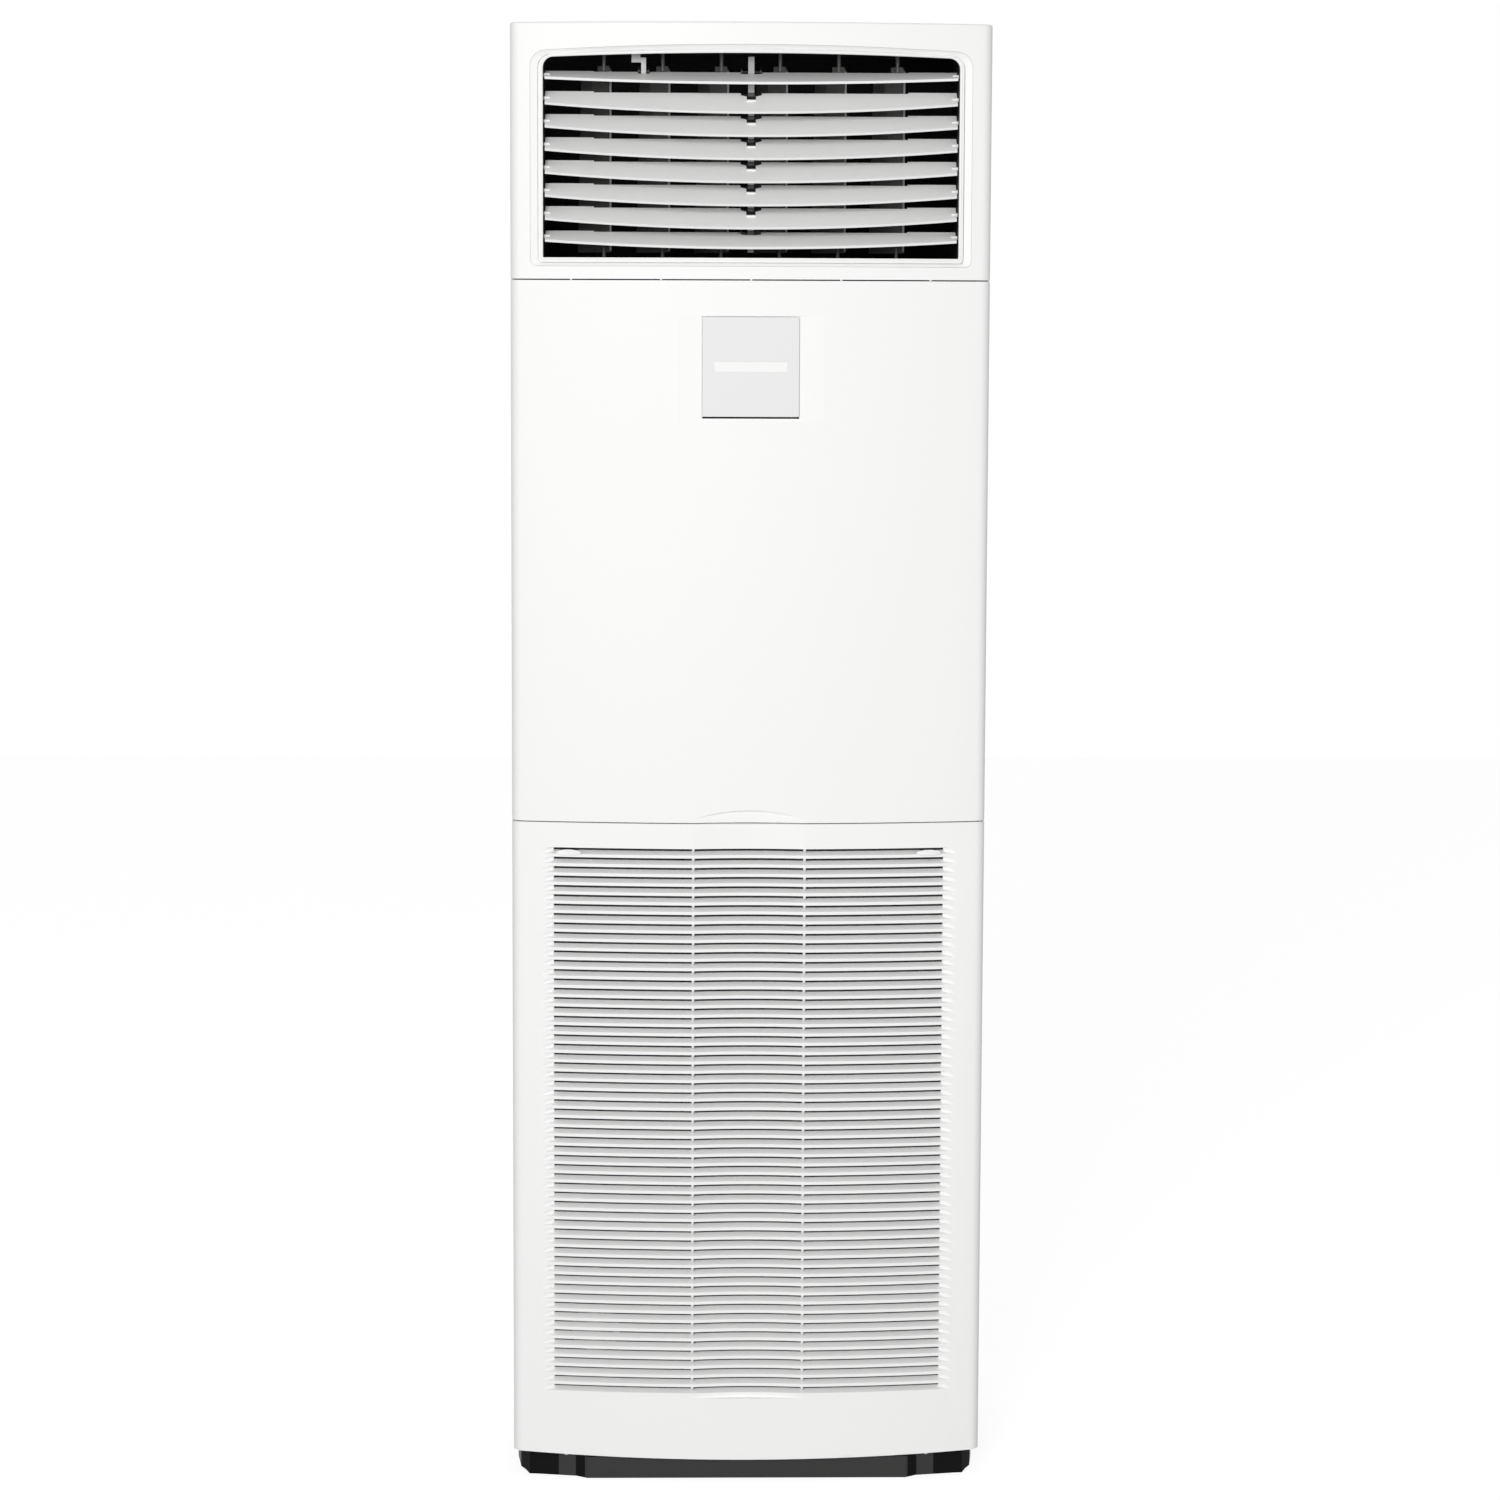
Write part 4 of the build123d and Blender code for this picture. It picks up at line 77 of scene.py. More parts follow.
def colour_of(label, text, code):
    """Colour setting, from an sRGB hex value."""
    return bpy.props.FloatVectorProperty(name=label, description=text, subtype="COLOR", size=3,
                                         min=0.0, max=1.0, default=linear(code))


def length_of(label, text, millimetres):
    """Length setting."""
    return bpy.props.FloatProperty(name=label, description=text, subtype="DISTANCE", unit="LENGTH",
                                   min=0.0, default=millimetres * MM)


# ---------- settings
class AirconFinishes(bpy.types.PropertyGroup):
    front: colour_of("Front panels", "Off-white moulded plastic of the front", "F8F8F7")
    display: colour_of("Display plate", "Light grey plate on the front", "E8E8E8")
    strip: colour_of("Bare strip", "Narrow white strip on the display plate", "FCFCFB")
    sheet: colour_of("Painted sheet", "Paint on the sides and the back", "EFEFEC")
    plinth: colour_of("Plinth", "Black plastic of the plinth", "1A1A19")
    duct: colour_of("Outlet duct", "Charcoal plastic behind the louvres", "101010")
    louvre: colour_of("Louvres", "Off-white plastic of the louvres", "F8F8F7")
    vane: colour_of("Vanes", "Dark grey plastic of the upright vanes", "4A4A48")
    # Painted shade: the darker, duller black of the plinth's recesses and of the strip under the
    # front panels.
    matt: colour_of("Painted shade black", "Painted shade in the plinth's recesses and under the front panels", "141414")
    # This grey is also the painted highlight along the vanes' front edges.
    link: colour_of("Link bar", "Grey plastic of the louvres' link bar", "A4A4A3")
    zinc: colour_of("Galvanised sheet", "Zinc-coated steel inside the cabinet", "A9ADB1")
    fin: colour_of("Fins", "Bare aluminium of the coil", "C9CCD0")
    copper: colour_of("Copper", "Drawn copper tube", "C47A5A")
    brass: colour_of("Brass", "Turned brass of the flare nuts", "C9A75C")
    # The foam's near black also stands in as painted shade deep behind the louvres.
    foam: colour_of("Foam", "Expanded polypropylene of the air channel", "141414")


class AirconGrille(bpy.types.PropertyGroup):
    slots: bpy.props.IntProperty(name="Slots", description="Slots in one column of the grille",
                                 default=59, min=1)
    pitch: length_of("Pitch", "Height from one slot to the next", 12.0)
    first: length_of("First slot", "Height of the uppermost slot's upper edge", 820.1)
    opening: length_of("Opening", "Height of a slot at the face", 8.1)
    end: length_of("Slot end", "Distance from the middle to a slot's end", 248.0)
    run_out: length_of("Run-out", "Length of the flute beyond a slot's end", 16.0)
    flute: length_of("Flute depth", "Depth of a flute where it leaves the slot", 5.5)
    rib_x: length_of("Rib place", "Distance from the middle to the ribs between the columns", 70.3)
    rib: length_of("Rib width", "Width of the web under a blade's nose at a rib", 3.2)
    web: length_of("Web height", "Height of that web", 3.0)


class AirconFront(bpy.types.PropertyGroup):
    bulge: length_of("Bulge", "How far the middle of the front stands ahead of its corners", 28.0)
    slope: length_of("Bevel depth", "Depth of the sloped surround at its inner edge", 2.9)
    crown: length_of("Crown depth", "How much deeper the surround is over the opening", 2.4)
    line: length_of("Bevel line", "Open line round the outside of the surround", 0.25)
    gutter: length_of("Gutter width", "Width of the gutter outside the lip", 1.3)
    gutter_depth: length_of("Gutter depth", "Depth of that gutter below the face", 5.8)
    lip: length_of("Lip radius", "Radius of the rounded lip round the opening", 1.8)
    roll: length_of("Foot radius", "Radius of the rolled lower edge of the grille", 2.0)
    groove: length_of("Plate line", "Open line round the display plate", 0.6)
    seam: length_of("Seam bead", "Radius of the moulded bead in the lower seam", 0.15)
    skirt_rise: length_of("Foot rise", "How much higher the lower edge is at the corners", 5.5)


class AirconInside(bpy.types.PropertyGroup):
    fin_pitch: length_of("Fin pitch", "Distance between two foil fins", 2.0)
    fin_foil: length_of("Fin foil", "Thickness of a foil fin", 0.25)
    net_pitch: length_of("Net pitch", "Distance between two threads of the filter net", 1.0)
    thread: length_of("Net thread", "Thickness of a thread of the filter net", 0.55)
    blades: bpy.props.IntProperty(name="Fan blades", description="Blades round the impeller",
                                  default=36, min=3)


class AirconStage(bpy.types.PropertyGroup):
    sky: bpy.props.FloatProperty(name="Sky", description="Even light from all round", default=0.40)
    key: bpy.props.FloatProperty(name="Key lamp", description="Watts of the large lamp in front",
                                 default=425.0)
    fill: bpy.props.FloatProperty(name="Fill lamp", description="Watts of the lamp on the right",
                                  default=27.0)


# ---------- small tools
def add_node(tree, kind, links=(), values=(), **settings):
    """Adds one node with its settings, its socket values and its incoming links."""
    node = tree.nodes.new(kind)
    for key, value in settings.items():
        setattr(node, key, value)
    for socket, value in dict(values).items():
        node.inputs[socket].default_value = value
    for socket, source in dict(links).items():
        tree.links.new(source, node.inputs[socket])
    return node


def add_object(name, data):
    """Object in the scene, at the origin."""
    thing = bpy.data.objects.new(name, data)
    bpy.context.scene.collection.objects.link(thing)
    return thing


def fresh_tree(owner):
    """Empty node tree of a material or a world."""
    owner.use_nodes = True
    owner.node_tree.nodes.clear()
    return owner.node_tree


def angles(steps):
    return [2 * pi * i / steps for i in range(steps)]


def new_piece(name, points, faces, slot=None):
    """Mesh object at the origin, with its place in its mesh and the finish of a slot."""
    mesh = bpy.data.meshes.new(name)
    mesh.from_pydata([tuple(p) for p in points], [], faces)
    mesh.update()
    if slot:
        mesh.materials.append(finish_for(slot))
    return add_object(name, mesh)


def settle(piece):
    """Keeps what a piece's modifiers make of it as a plain mesh."""
    graph = bpy.context.evaluated_depsgraph_get()
    plain = bpy.data.meshes.new_from_object(piece.evaluated_get(graph))
    piece.modifiers.clear()
    piece.data = plain
    return piece


def soften(piece):
    """Smooth shading, with the sharp edges kept."""
    piece.data.shade_smooth()
    piece.data.set_sharp_from_angle(angle=radians(SHARP))
    return piece


def stand_for(piece, *nodes):
    """The piece takes the place of CAD nodes on one body."""
    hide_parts(*nodes)
    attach(piece, BODY_OF[nodes[0]])
    return piece


def skin(node):
    """Merged copy of a CAD node, which shades smoothly where the node has loose triangles."""
    work = bmesh.new()
    work.from_mesh(NODES[node].data)
    bmesh.ops.remove_doubles(work, verts=work.verts, dist=MERGE)
    work.verts.index_update()
    points = [v.co.copy() for v in work.verts]
    faces = [[v.index for v in f.verts] for f in work.faces]
    work.free()
    return soften(new_piece(node + "_skin", points, faces, SLOT_OF[node]))


def dress(*nodes):
    """Gives CAD nodes the finish of their slot."""
    for node in nodes:
        mesh = NODES[node].data
        mesh.materials.clear()
        mesh.materials.append(finish_for(SLOT_OF[node]))


def show_skins(*nodes):
    for node in nodes:
        stand_for(skin(node), node)


def loft(rings, meet=False):
    """Points and faces between rings of equal counts. The two ends are shut, or meet each other."""
    count, total = len(rings[0]), len(rings)
    points = [p for ring in rings for p in ring]
    faces = [[i * count + j, i * count + (j + 1) % count,
              (i + 1) % total * count + (j + 1) % count, (i + 1) % total * count + j]
             for i in range(total if meet else total - 1) for j in range(count)]
    if not meet:
        faces.append(list(range(count))[::-1])
        faces.append([(total - 1) * count + j for j in range(count)])
    return points, faces


def outward(piece):
    """Turns every face outwards."""
    work = bmesh.new()
    work.from_mesh(piece.data)
    bmesh.ops.remove_doubles(work, verts=work.verts, dist=SEAL)
    bmesh.ops.recalc_face_normals(work, faces=work.faces)
    work.to_mesh(piece.data)
    work.free()
    return piece


def smooth_piece(name, rings, slot=None, meet=False):
    """Closed piece between rings of points, with smooth shading."""
    return soften(outward(new_piece(name, *loft(rings, meet), slot)))


def box_piece(name, low, high):
    """Box between two corners."""
    (x0, y0, z0), (x1, y1, z1) = low, high
    rings = [[(x, y0, z0), (x, y1, z0), (x, y1, z1), (x, y0, z1)] for x in (x0, x1)]
    return outward(new_piece(name, *loft(rings)))


def cut_away(piece, cutter):
    """The piece without the closed cutter, which goes."""
    cut = piece.modifiers.new("cut", "BOOLEAN")
    cut.operation = "DIFFERENCE"
    cut.solver = "MANIFOLD"
    cut.object = cutter
    settle(piece)
    bpy.data.objects.remove(cutter)
    return soften(piece)


def turned(name, profile, steps, middle):
    """Solid turned about an axis along Y through the middle, from (radius, y) pairs."""
    rings = [[(middle.x + r * cos(a), y, middle.z + r * sin(a)) for r, y in profile]
             for a in angles(steps)]
    return smooth_piece(name, rings, meet=True)


def joined(name, pieces):
    """One object out of several with plain meshes."""
    work = bmesh.new()
    for piece in pieces:
        work.from_mesh(piece.data)
    mesh = bpy.data.meshes.new(name)
    work.to_mesh(mesh)
    work.free()
    for material in pieces[0].data.materials:
        mesh.materials.append(material)
    for piece in pieces:
        bpy.data.objects.remove(piece)
    return add_object(name, mesh)


def front_face(x):
    """Y of the bulged front at x."""
    low, high = FRONT
    bulge = bpy.context.scene.aircon_front.bulge
    radius = (high.x ** 2 + bulge ** 2) / (2 * bulge)
    return low.y + radius - sqrt(radius ** 2 - x ** 2)


# Each outline in millimetres: inset from the sides, inset of the arch's crown from the top, drop of
# the arch at the sides, foot below the top, radii of the corners at the head and at the foot.
OUTLINES = {"bevel": (25.0, 27.5, 7.9, 300.0, 20.0, 8.0),
            "rim": (35.0, 34.2, 6.6, 295.5, 16.0, 5.0),
            "opening": (41.0, 38.0, 5.0, 289.3, 13.5, 1.0)}
CORNER_STEPS, EDGE_STEPS = 8, 48
LEAST_RADIUS = 0.2 * MM  # that a shrunk corner keeps


def outlet_outline(name, shrink=0.0):
    """Points (x, z) round one outline of the outlet, with equal counts for every outline."""
    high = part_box("outlet_panel")[1]
    side, crown, drop, foot_z, head, foot = [v * MM for v in OUTLINES[name]]
    half, top, bottom = high.x - side - shrink, high.z - crown - shrink, high.z - foot_z + shrink
    head, foot = max(head - shrink, LEAST_RADIUS), max(foot - shrink, LEAST_RADIUS)
    arch = (half ** 2 + drop ** 2) / (2 * drop)
    arch_z = top - arch
    head_x, head_z = half - head, arch_z + sqrt((arch - head) ** 2 - (half - head) ** 2)
    meet = atan2(head_z - arch_z, head_x)
    right = []
    for i in range(CORNER_STEPS + 1):
        a = -pi / 2 * (1 - i / CORNER_STEPS)
        right.append((half - foot + foot * cos(a), bottom + foot + foot * sin(a)))
    for i in range(CORNER_STEPS + 1):
        a = meet * i / CORNER_STEPS
        right.append((head_x + head * cos(a), head_z + head * sin(a)))
    crest = [(arch * cos(a), arch_z + arch * sin(a)) for a in
             (meet + (pi - 2 * meet) * i / EDGE_STEPS for i in range(1, EDGE_STEPS))]
    left = [(-x, z) for x, z in reversed(right)]
    reach = half - foot
    sill = [(-reach + 2 * reach * i / EDGE_STEPS, bottom) for i in range(1, EDGE_STEPS)]
    return right + crest + left + sill


def looped(name, loops):
    """Closed band whose section is carried round: one loop of points for each corner of it."""
    return smooth_piece(name, loops, "front_plastic", meet=True)


def bead(name, path, radius, steps=10, closed=False):
    """Round bead along a path of points that runs across the front."""
    count = len(path)
    rings = []
    for i, spot in enumerate(path):
        before = path[(i - 1) % count if closed else max(i - 1, 0)]
        after = path[(i + 1) % count if closed else min(i + 1, count - 1)]
        along = (Vector(after) - Vector(before)).normalized()
        out = along.cross(Vector((0.0, 1.0, 0.0))).normalized()
        back = out.cross(along).normalized()
        rings.append([Vector(spot) + radius * (cos(a) * out + sin(a) * back)
                      for a in angles(steps)])
    if closed:
        return looped(name, [[ring[k] for ring in rings] for k in range(steps)])
    return smooth_piece(name, rings, "front_plastic")


# ---------- geometry trees
def start_tree(name, inputs):
    """Tree with a geometry input, the named inputs and a geometry output."""
    tree = bpy.data.node_groups.new(name, "GeometryNodeTree")
    for label, kind in [("Geometry", "Geometry"), *inputs]:
        tree.interface.new_socket(label, in_out="INPUT", socket_type="NodeSocket" + kind)
    tree.interface.new_socket("Geometry", in_out="OUTPUT", socket_type="NodeSocketGeometry")
    return tree, add_node(tree, "NodeGroupInput").outputs


def end_tree(tree, finish, spots):
    """Instance on Points, Realize Instances, Set Material and the output."""
    copies = add_node(tree, "GeometryNodeInstanceOnPoints", spots)
    real = add_node(tree, "GeometryNodeRealizeInstances", {"Geometry": copies.outputs[0]})
    coated = add_node(tree, "GeometryNodeSetMaterial",
                      {"Geometry": real.outputs[0], "Material": finish})
    add_node(tree, "NodeGroupOutput", {"Geometry": coated.outputs[0]})


def repeat(piece, count, step, slot):
    """Row of copies of the piece, each one step further on."""
    tree, given = start_tree("row of copies", [("Count", "Int"), ("Step", "Vector"),
                                               ("Finish", "Material")])
    line = add_node(tree, "GeometryNodeMeshLine",
                    {"Count": given["Count"], "Offset": given["Step"]}, mode="OFFSET")
    end_tree(tree, given["Finish"], {"Points": line.outputs[0], "Instance": given["Geometry"]})
    return run_tree(piece, tree, count=count, step=step, finish=finish_for(slot))


def repeat_round(piece, count, middle, slot):
    """Copies of the piece turned evenly about an axis along Y through the middle."""
    tree, given = start_tree("ring of copies", [("Count", "Int"), ("Middle", "Vector"),
                                                ("Finish", "Material")])
    back = add_node(tree, "ShaderNodeVectorMath", {0: given["Middle"]}, {"Scale": -1.0},
                    operation="SCALE")
    centred = add_node(tree, "GeometryNodeTransform",
                       {"Geometry": given["Geometry"], "Translation": back.outputs[0]})
    spots = add_node(tree, "GeometryNodeMeshLine",
                     {"Count": given["Count"], "Start Location": given["Middle"]},
                     {"Offset": (0.0, 0.0, 0.0)}, mode="OFFSET")
    share = add_node(tree, "ShaderNodeMath", {1: given["Count"]}, {0: 2 * pi}, operation="DIVIDE")
    place = add_node(tree, "GeometryNodeInputIndex")
    angle = add_node(tree, "ShaderNodeMath", {0: place.outputs[0], 1: share.outputs[0]},
                     operation="MULTIPLY")
    turn = add_node(tree, "ShaderNodeCombineXYZ", {"Y": angle.outputs[0]})
    end_tree(tree, given["Finish"], {"Points": spots.outputs[0], "Instance": centred.outputs[0],
                                     "Rotation": turn.outputs[0]})
    return run_tree(piece, tree, count=count, middle=list(middle), finish=finish_for(slot))


def run_tree(piece, tree, **values):
    """Runs a tree on a piece, with its inputs named in lower case, and keeps the plain mesh."""
    modifier = piece.modifiers.new(tree.name, "NODES")
    modifier.node_group = tree
    for socket in tree.interface.items_tree:
        if socket.in_out == "INPUT" and socket.name.lower() in values:
            modifier[socket.identifier] = values[socket.name.lower()]
    return settle(piece)


# ---------- finishes
FINISH_OF = {
    "front_plastic": "ABS, moulded, off-white", "display_plastic": "ABS, moulded, light grey",
    "strip_plastic": "acrylic, polished, white", "painted_sheet": "steel sheet, powder coated",
    "galvanised_sheet": "steel sheet, galvanised", "plinth_plastic": "ABS, moulded, black",
    "duct_plastic": "polypropylene, moulded, charcoal",
    "louvre_plastic": "ABS, moulded, louvre white",
    "vane_plastic": "polypropylene, moulded, dark grey", "link_plastic": "acetal, moulded, grey",
    "foam": "polypropylene foam, expanded, black, painted shade", "fin_aluminium": "aluminium foil, pressed",
    "copper": "copper tube, drawn", "brass": "brass, turned",
    "drain_plastic": "polypropylene, moulded, pale grey", "hose_plastic": "PVC hose, extruded",
    "filter_plastic": "polypropylene, moulded, filter black",
    "filter_net_fabric": "nylon net, woven",
    "fan_plastic": "glass-filled plastic, moulded", "steel": "steel, zinc plated",
    "motor_shell": "steel shell, painted", "board": "circuit board, lacquered",
    "terminal_plastic": "phenolic, moulded, black",
    # For parts of a piece, so not slots of the record. The clip black is also painted shade; the
    # matt black is painted shade only.
    "clip_black_and_painted_shade": "acetal, moulded, black, also painted shade", "matt": "ABS, moulded, black, painted shade",
}
BUMP_STRENGTH = 0.3


def finish_for(slot):
    return bpy.data.materials[FINISH_OF[slot]]


def surface(slot, colour, roughness, metallic=0.0, grain_mm=1.0, height=0.02, spread=0.0,
            cells=False, **extra):
    """Principled finish with a bump of the grain's real size and a slight spread of its colour."""
    tree = fresh_tree(bpy.data.materials.new(FINISH_OF[slot]))
    place = add_node(tree, "ShaderNodeTexCoord")
    kind = "ShaderNodeTexVoronoi" if cells else "ShaderNodeTexNoise"
    grain = add_node(tree, kind, {"Vector": place.outputs["Object"]},
                     {"Scale": 1 / (grain_mm * MM)})
    depth = grain.outputs["Distance" if cells else "Fac"]
    bump = add_node(tree, "ShaderNodeBump", {"Height": depth},
                    {"Strength": BUMP_STRENGTH, "Distance": height * MM})
    shader = add_node(tree, "ShaderNodeBsdfPrincipled", {"Normal": bump.outputs[0]},
                      {"Roughness": roughness, "Metallic": metallic, **extra})
    if spread:
        low = [max(c * (1 - spread), 0) for c in colour]
        high = [min(c * (1 + spread), 1) for c in colour]
        shade = grain.outputs["Color"] if cells else grain.outputs["Fac"]
        ramp = add_node(tree, "ShaderNodeMix", {"Factor": shade}, data_type="RGBA")
        ramp.inputs["A"].default_value = (*low, 1)
        ramp.inputs["B"].default_value = (*high, 1)
        tree.links.new(ramp.outputs["Result"], shader.inputs["Base Color"])
    else:
        shader.inputs["Base Color"].default_value = (*colour, 1)
    add_node(tree, "ShaderNodeOutputMaterial", {"Surface": shader.outputs[0]})


def make_finishes(c):
    """Every finish of the part, from the colours of the settings."""
    # Moulded ABS: even colour, a satin skin from the fine grain of the mould; a duller black
    # painted as shade in recesses.
    surface("front_plastic", c.front, 0.5, grain_mm=1.2, IOR=1.53)
    surface("display_plastic", c.display, 0.3, grain_mm=1.2, height=0.01, IOR=1.53)
    surface("louvre_plastic", c.louvre, 0.45, grain_mm=1.2, IOR=1.53)
    surface("plinth_plastic", c.plinth, 0.5, height=0.05, IOR=1.53, **{"Specular IOR Level": 0.35})
    surface("matt", c.matt, 0.9, height=0.1, **{"Specular IOR Level": 0.1})
    # Polished acrylic: a clear, tight gloss.
    surface("strip_plastic", c.strip, 0.12, grain_mm=5.0, height=0.002, IOR=1.49)
    # Powder coat: a faint orange peel of about 2 mm over an even colour.
    surface("painted_sheet", c.sheet, 0.38, grain_mm=2.0, height=0.04, IOR=1.5)
    # Hot-dip zinc: spangles of about 9 mm, each of its own grey.
    surface("galvanised_sheet", c.zinc, 0.42, 1.0, grain_mm=9.0, height=0.01, spread=0.14,
            cells=True)
    # Polypropylene off the mould: matt, nearly black in the duct.
    surface("duct_plastic", c.duct, 0.55, height=0.03, IOR=1.49)
    surface("vane_plastic", c.vane, 0.4, height=0.03, IOR=1.49)
    surface("filter_plastic", linear("1E1F20"), 0.5, height=0.03, IOR=1.49)
    surface("drain_plastic", linear("C6C6C4"), 0.45, IOR=1.49)
    # Acetal: dense and slightly waxy.
    surface("link_plastic", c.link, 0.35, height=0.01, IOR=1.48)
    # Clip black: the latch stems' black, and painted shade on the link bar, in the louvres' notches
    # and at their holders.
    surface("clip_black_and_painted_shade", linear("161616"), 0.4, height=0.01, IOR=1.48)
    # Expanded polypropylene: beads of about 4 mm pressed together; its near black is also painted
    # shade for the duct behind the louvres.
    surface("foam", c.foam, 0.8, grain_mm=4.0, height=0.3, spread=0.02, cells=True, IOR=1.4)
    # Bare foil: bright, with a slight unevenness of about 6 mm from the press.
    surface("fin_aluminium", c.fin, 0.35, 1.0, grain_mm=6.0, height=0.01, spread=0.05)
    # Drawn copper: dulled by handling in patches of about 15 mm.
    surface("copper", c.copper, 0.32, 1.0, grain_mm=15.0, height=0.01, spread=0.15)
    # Turned brass: brighter and more even.
    surface("brass", c.brass, 0.28, 1.0, grain_mm=8.0, height=0.01, spread=0.05)
    # Extruded hose: smooth and matt.
    surface("hose_plastic", linear("9A9C9E"), 0.6, grain_mm=2.0, IOR=1.52)
    # Nylon threads: dark, with the soft sheen of the fibre.
    surface("filter_net_fabric", linear("1B1B1B"), 0.6, IOR=1.53)
    # Glass-filled plastic: grey, flow marks of about 20 mm.
    surface("fan_plastic", linear("5C5E61"), 0.5, grain_mm=20.0, spread=0.06, IOR=1.53)
    # Zinc plate: bright and nearly even. The motor's shell has thin paint over pressed steel.
    surface("steel", linear("B4B6BA"), 0.3, 1.0, grain_mm=3.0, height=0.01, spread=0.04)
    surface("motor_shell", linear("B9BBBE"), 0.35, 0.6, grain_mm=2.0, height=0.03)
    # Solder lacquer over copper tracks: deep green and glossy.
    surface("board", linear("1F5A36"), 0.2, grain_mm=6.0, spread=0.12, IOR=1.5)
    # Phenolic: hard and nearly black.
    surface("terminal_plastic", linear("232323"), 0.45, IOR=1.6)


# ---------- operators
class AIRCON_OT_finishes(bpy.types.Operator):
    """Make every finish of the air conditioner"""
    bl_idname = "aircon.finishes"
    bl_label = "Finishes"

    def execute(self, context):
        make_finishes(context.scene.aircon_finishes)
        return {"FINISHED"}


# Fine sizes of the front, in millimetres.
AHEAD = 1.0  # how far a cutter starts ahead of the face
SLOPE_SINK, SLOPE_SHEET = 0.05, 0.15  # depth of the sloped sheet's outer edge, and its thickness
UNDERCUT, RIM_SLIP = 0.1, 0.02  # of the crown cutter: below the sheet, and off the rim's wall
CROWN_RAMP = 6  # points of the arch over which the crown's depth runs in and out
SEAM_INSET = 12.0  # of the seam bead's ends from the sides


class AIRCON_OT_front_panels(bpy.types.Operator):
    """Dress the outlet panel, the middle panel and the top cover"""
    bl_idname = "aircon.front_panels"
    bl_label = "Front panels"

    def execute(self, context):
        sizes = context.scene.aircon_front
        outer = outlet_outline("bevel", sizes.line)
        inner = outlet_outline("rim", -sizes.gutter / 2)
        rim = outlet_outline("rim", -RIM_SLIP * MM)
        start, count = 2 * (CORNER_STEPS + 1), EDGE_STEPS - 1
        floors = [sizes.slope] * len(outer)
        for k in range(count):
            ramp = min(1.0, (k + 1) / CROWN_RAMP, (count - k) / CROWN_RAMP)
            floors[start + k] += sizes.crown * ramp
        under = SLOPE_SHEET * MM
        slope = looped("bevel_slope", [
            [(x, front_face(x) + SLOPE_SINK * MM, z) for x, z in outer],
            [(x, front_face(x) + under + floor, z) for (x, z), floor in zip(outer, floors)],
            [(x, front_face(x) + under + floor, z) for (x, z), floor in zip(inner, floors)],
            [(x, front_face(x) + floor, z) for (x, z), floor in zip(inner, floors)]])
        rings = []
        for k in range(start, start + count):
            (x0, z0), (x1, z1) = outer[k], rim[k]
            y0, y1 = front_face(x0), front_face(x1)
            rings.append([(x0, y0 - AHEAD * MM, z0), (x0, y0 + UNDERCUT * MM, z0),
                          (x1, y1 + floors[k] + UNDERCUT * MM, z1), (x1, y1 - AHEAD * MM, z1)])
        outlet = cut_away(skin("outlet_panel"), outward(new_piece("crown_cutter", *loft(rings))))
        bank = outlet_outline("rim", sizes.gutter / 2)
        outlet = cut_away(outlet, looped("gutter_cutter", [
            [(x, front_face(x) + depth, z) for x, z in edge]
            for edge, depth in ((inner, -AHEAD * MM), (inner, sizes.gutter_depth),
                                (bank, sizes.gutter_depth), (bank, -AHEAD * MM))]))
        edge = [(x, front_face(x) + sizes.lip, z) for x, z in outlet_outline("opening", -sizes.lip)]
        lip = bead("opening_lip", edge, sizes.lip, closed=True)
        panel = joined("outlet_panel_bevelled", [outlet, slope, lip])
        stand_for(panel, "outlet_panel")
        low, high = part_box("display_plate")
        gap, facet = sizes.groove, high.y
        rings = [[(low.x - d, y, low.z - d), (high.x + d, y, low.z - d),
                  (high.x + d, y, high.z + d), (low.x - d, y, high.z + d)]
                 for d, y in ((0.0, facet - gap), (gap, facet - gap), (gap, facet + 3 * gap),
                              (0.0, facet + 3 * gap))]
        middle = cut_away(skin("middle_panel"), looped("plate_line", rings))
        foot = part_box("middle_panel")
        reach = foot[1].x - SEAM_INSET * MM
        path = [(x, front_face(x) + 2 * sizes.seam, foot[0].z - sizes.seam / 2)
                for x in (reach * (2 * i / EDGE_STEPS - 1) for i in range(EDGE_STEPS + 1))]
        stand_for(joined("middle_panel_lined", [middle, bead("seam_bead", path, sizes.seam)]),
                  "middle_panel")
        show_skins("top_cover")
        return {"FINISHED"}


# The grille's flutes, webs, foot and latch tabs. Lengths are in millimetres.
BLADE_SLOPE = 0.478  # rise of a blade's upper face per depth
FLUTE_START = 1.0  # how far inside the slot's end the cutter begins
FLUTE_SHARES = (0.08, 0.2, 0.35, 0.5, 0.65, 0.8, 0.92, 0.985)  # its sections along the run-out
ROOF_POWER, DEPTH_POWER = 2.2, 1.3  # how the roof and the depth run out
ROOF_SHARE = 0.999  # keeps the roof just under the slot's own
RISE_SHARE = 0.9  # of the flute's height that its sloped floor may take
LEAST, LEAST_BACK = 0.05, 0.02  # depth and height at the face, height at the back
WEB_FRONT, WEB_BACK, WEB_OVERLAP = 0.2, 8.0, 0.5  # behind the face, and into the blade above
FOOT_INSET, FOOT_STEPS = 15.0, 60  # of the rolled foot's ends from the sides
STEM_END = 0.3  # what stands further ahead of the face than this is the tab
DISC_RINGS = ((2.0, 0.92), (1.5, 1.0), (0.4, 1.0))  # how proud, and the share of the tab's size
DISC_STEPS = 48


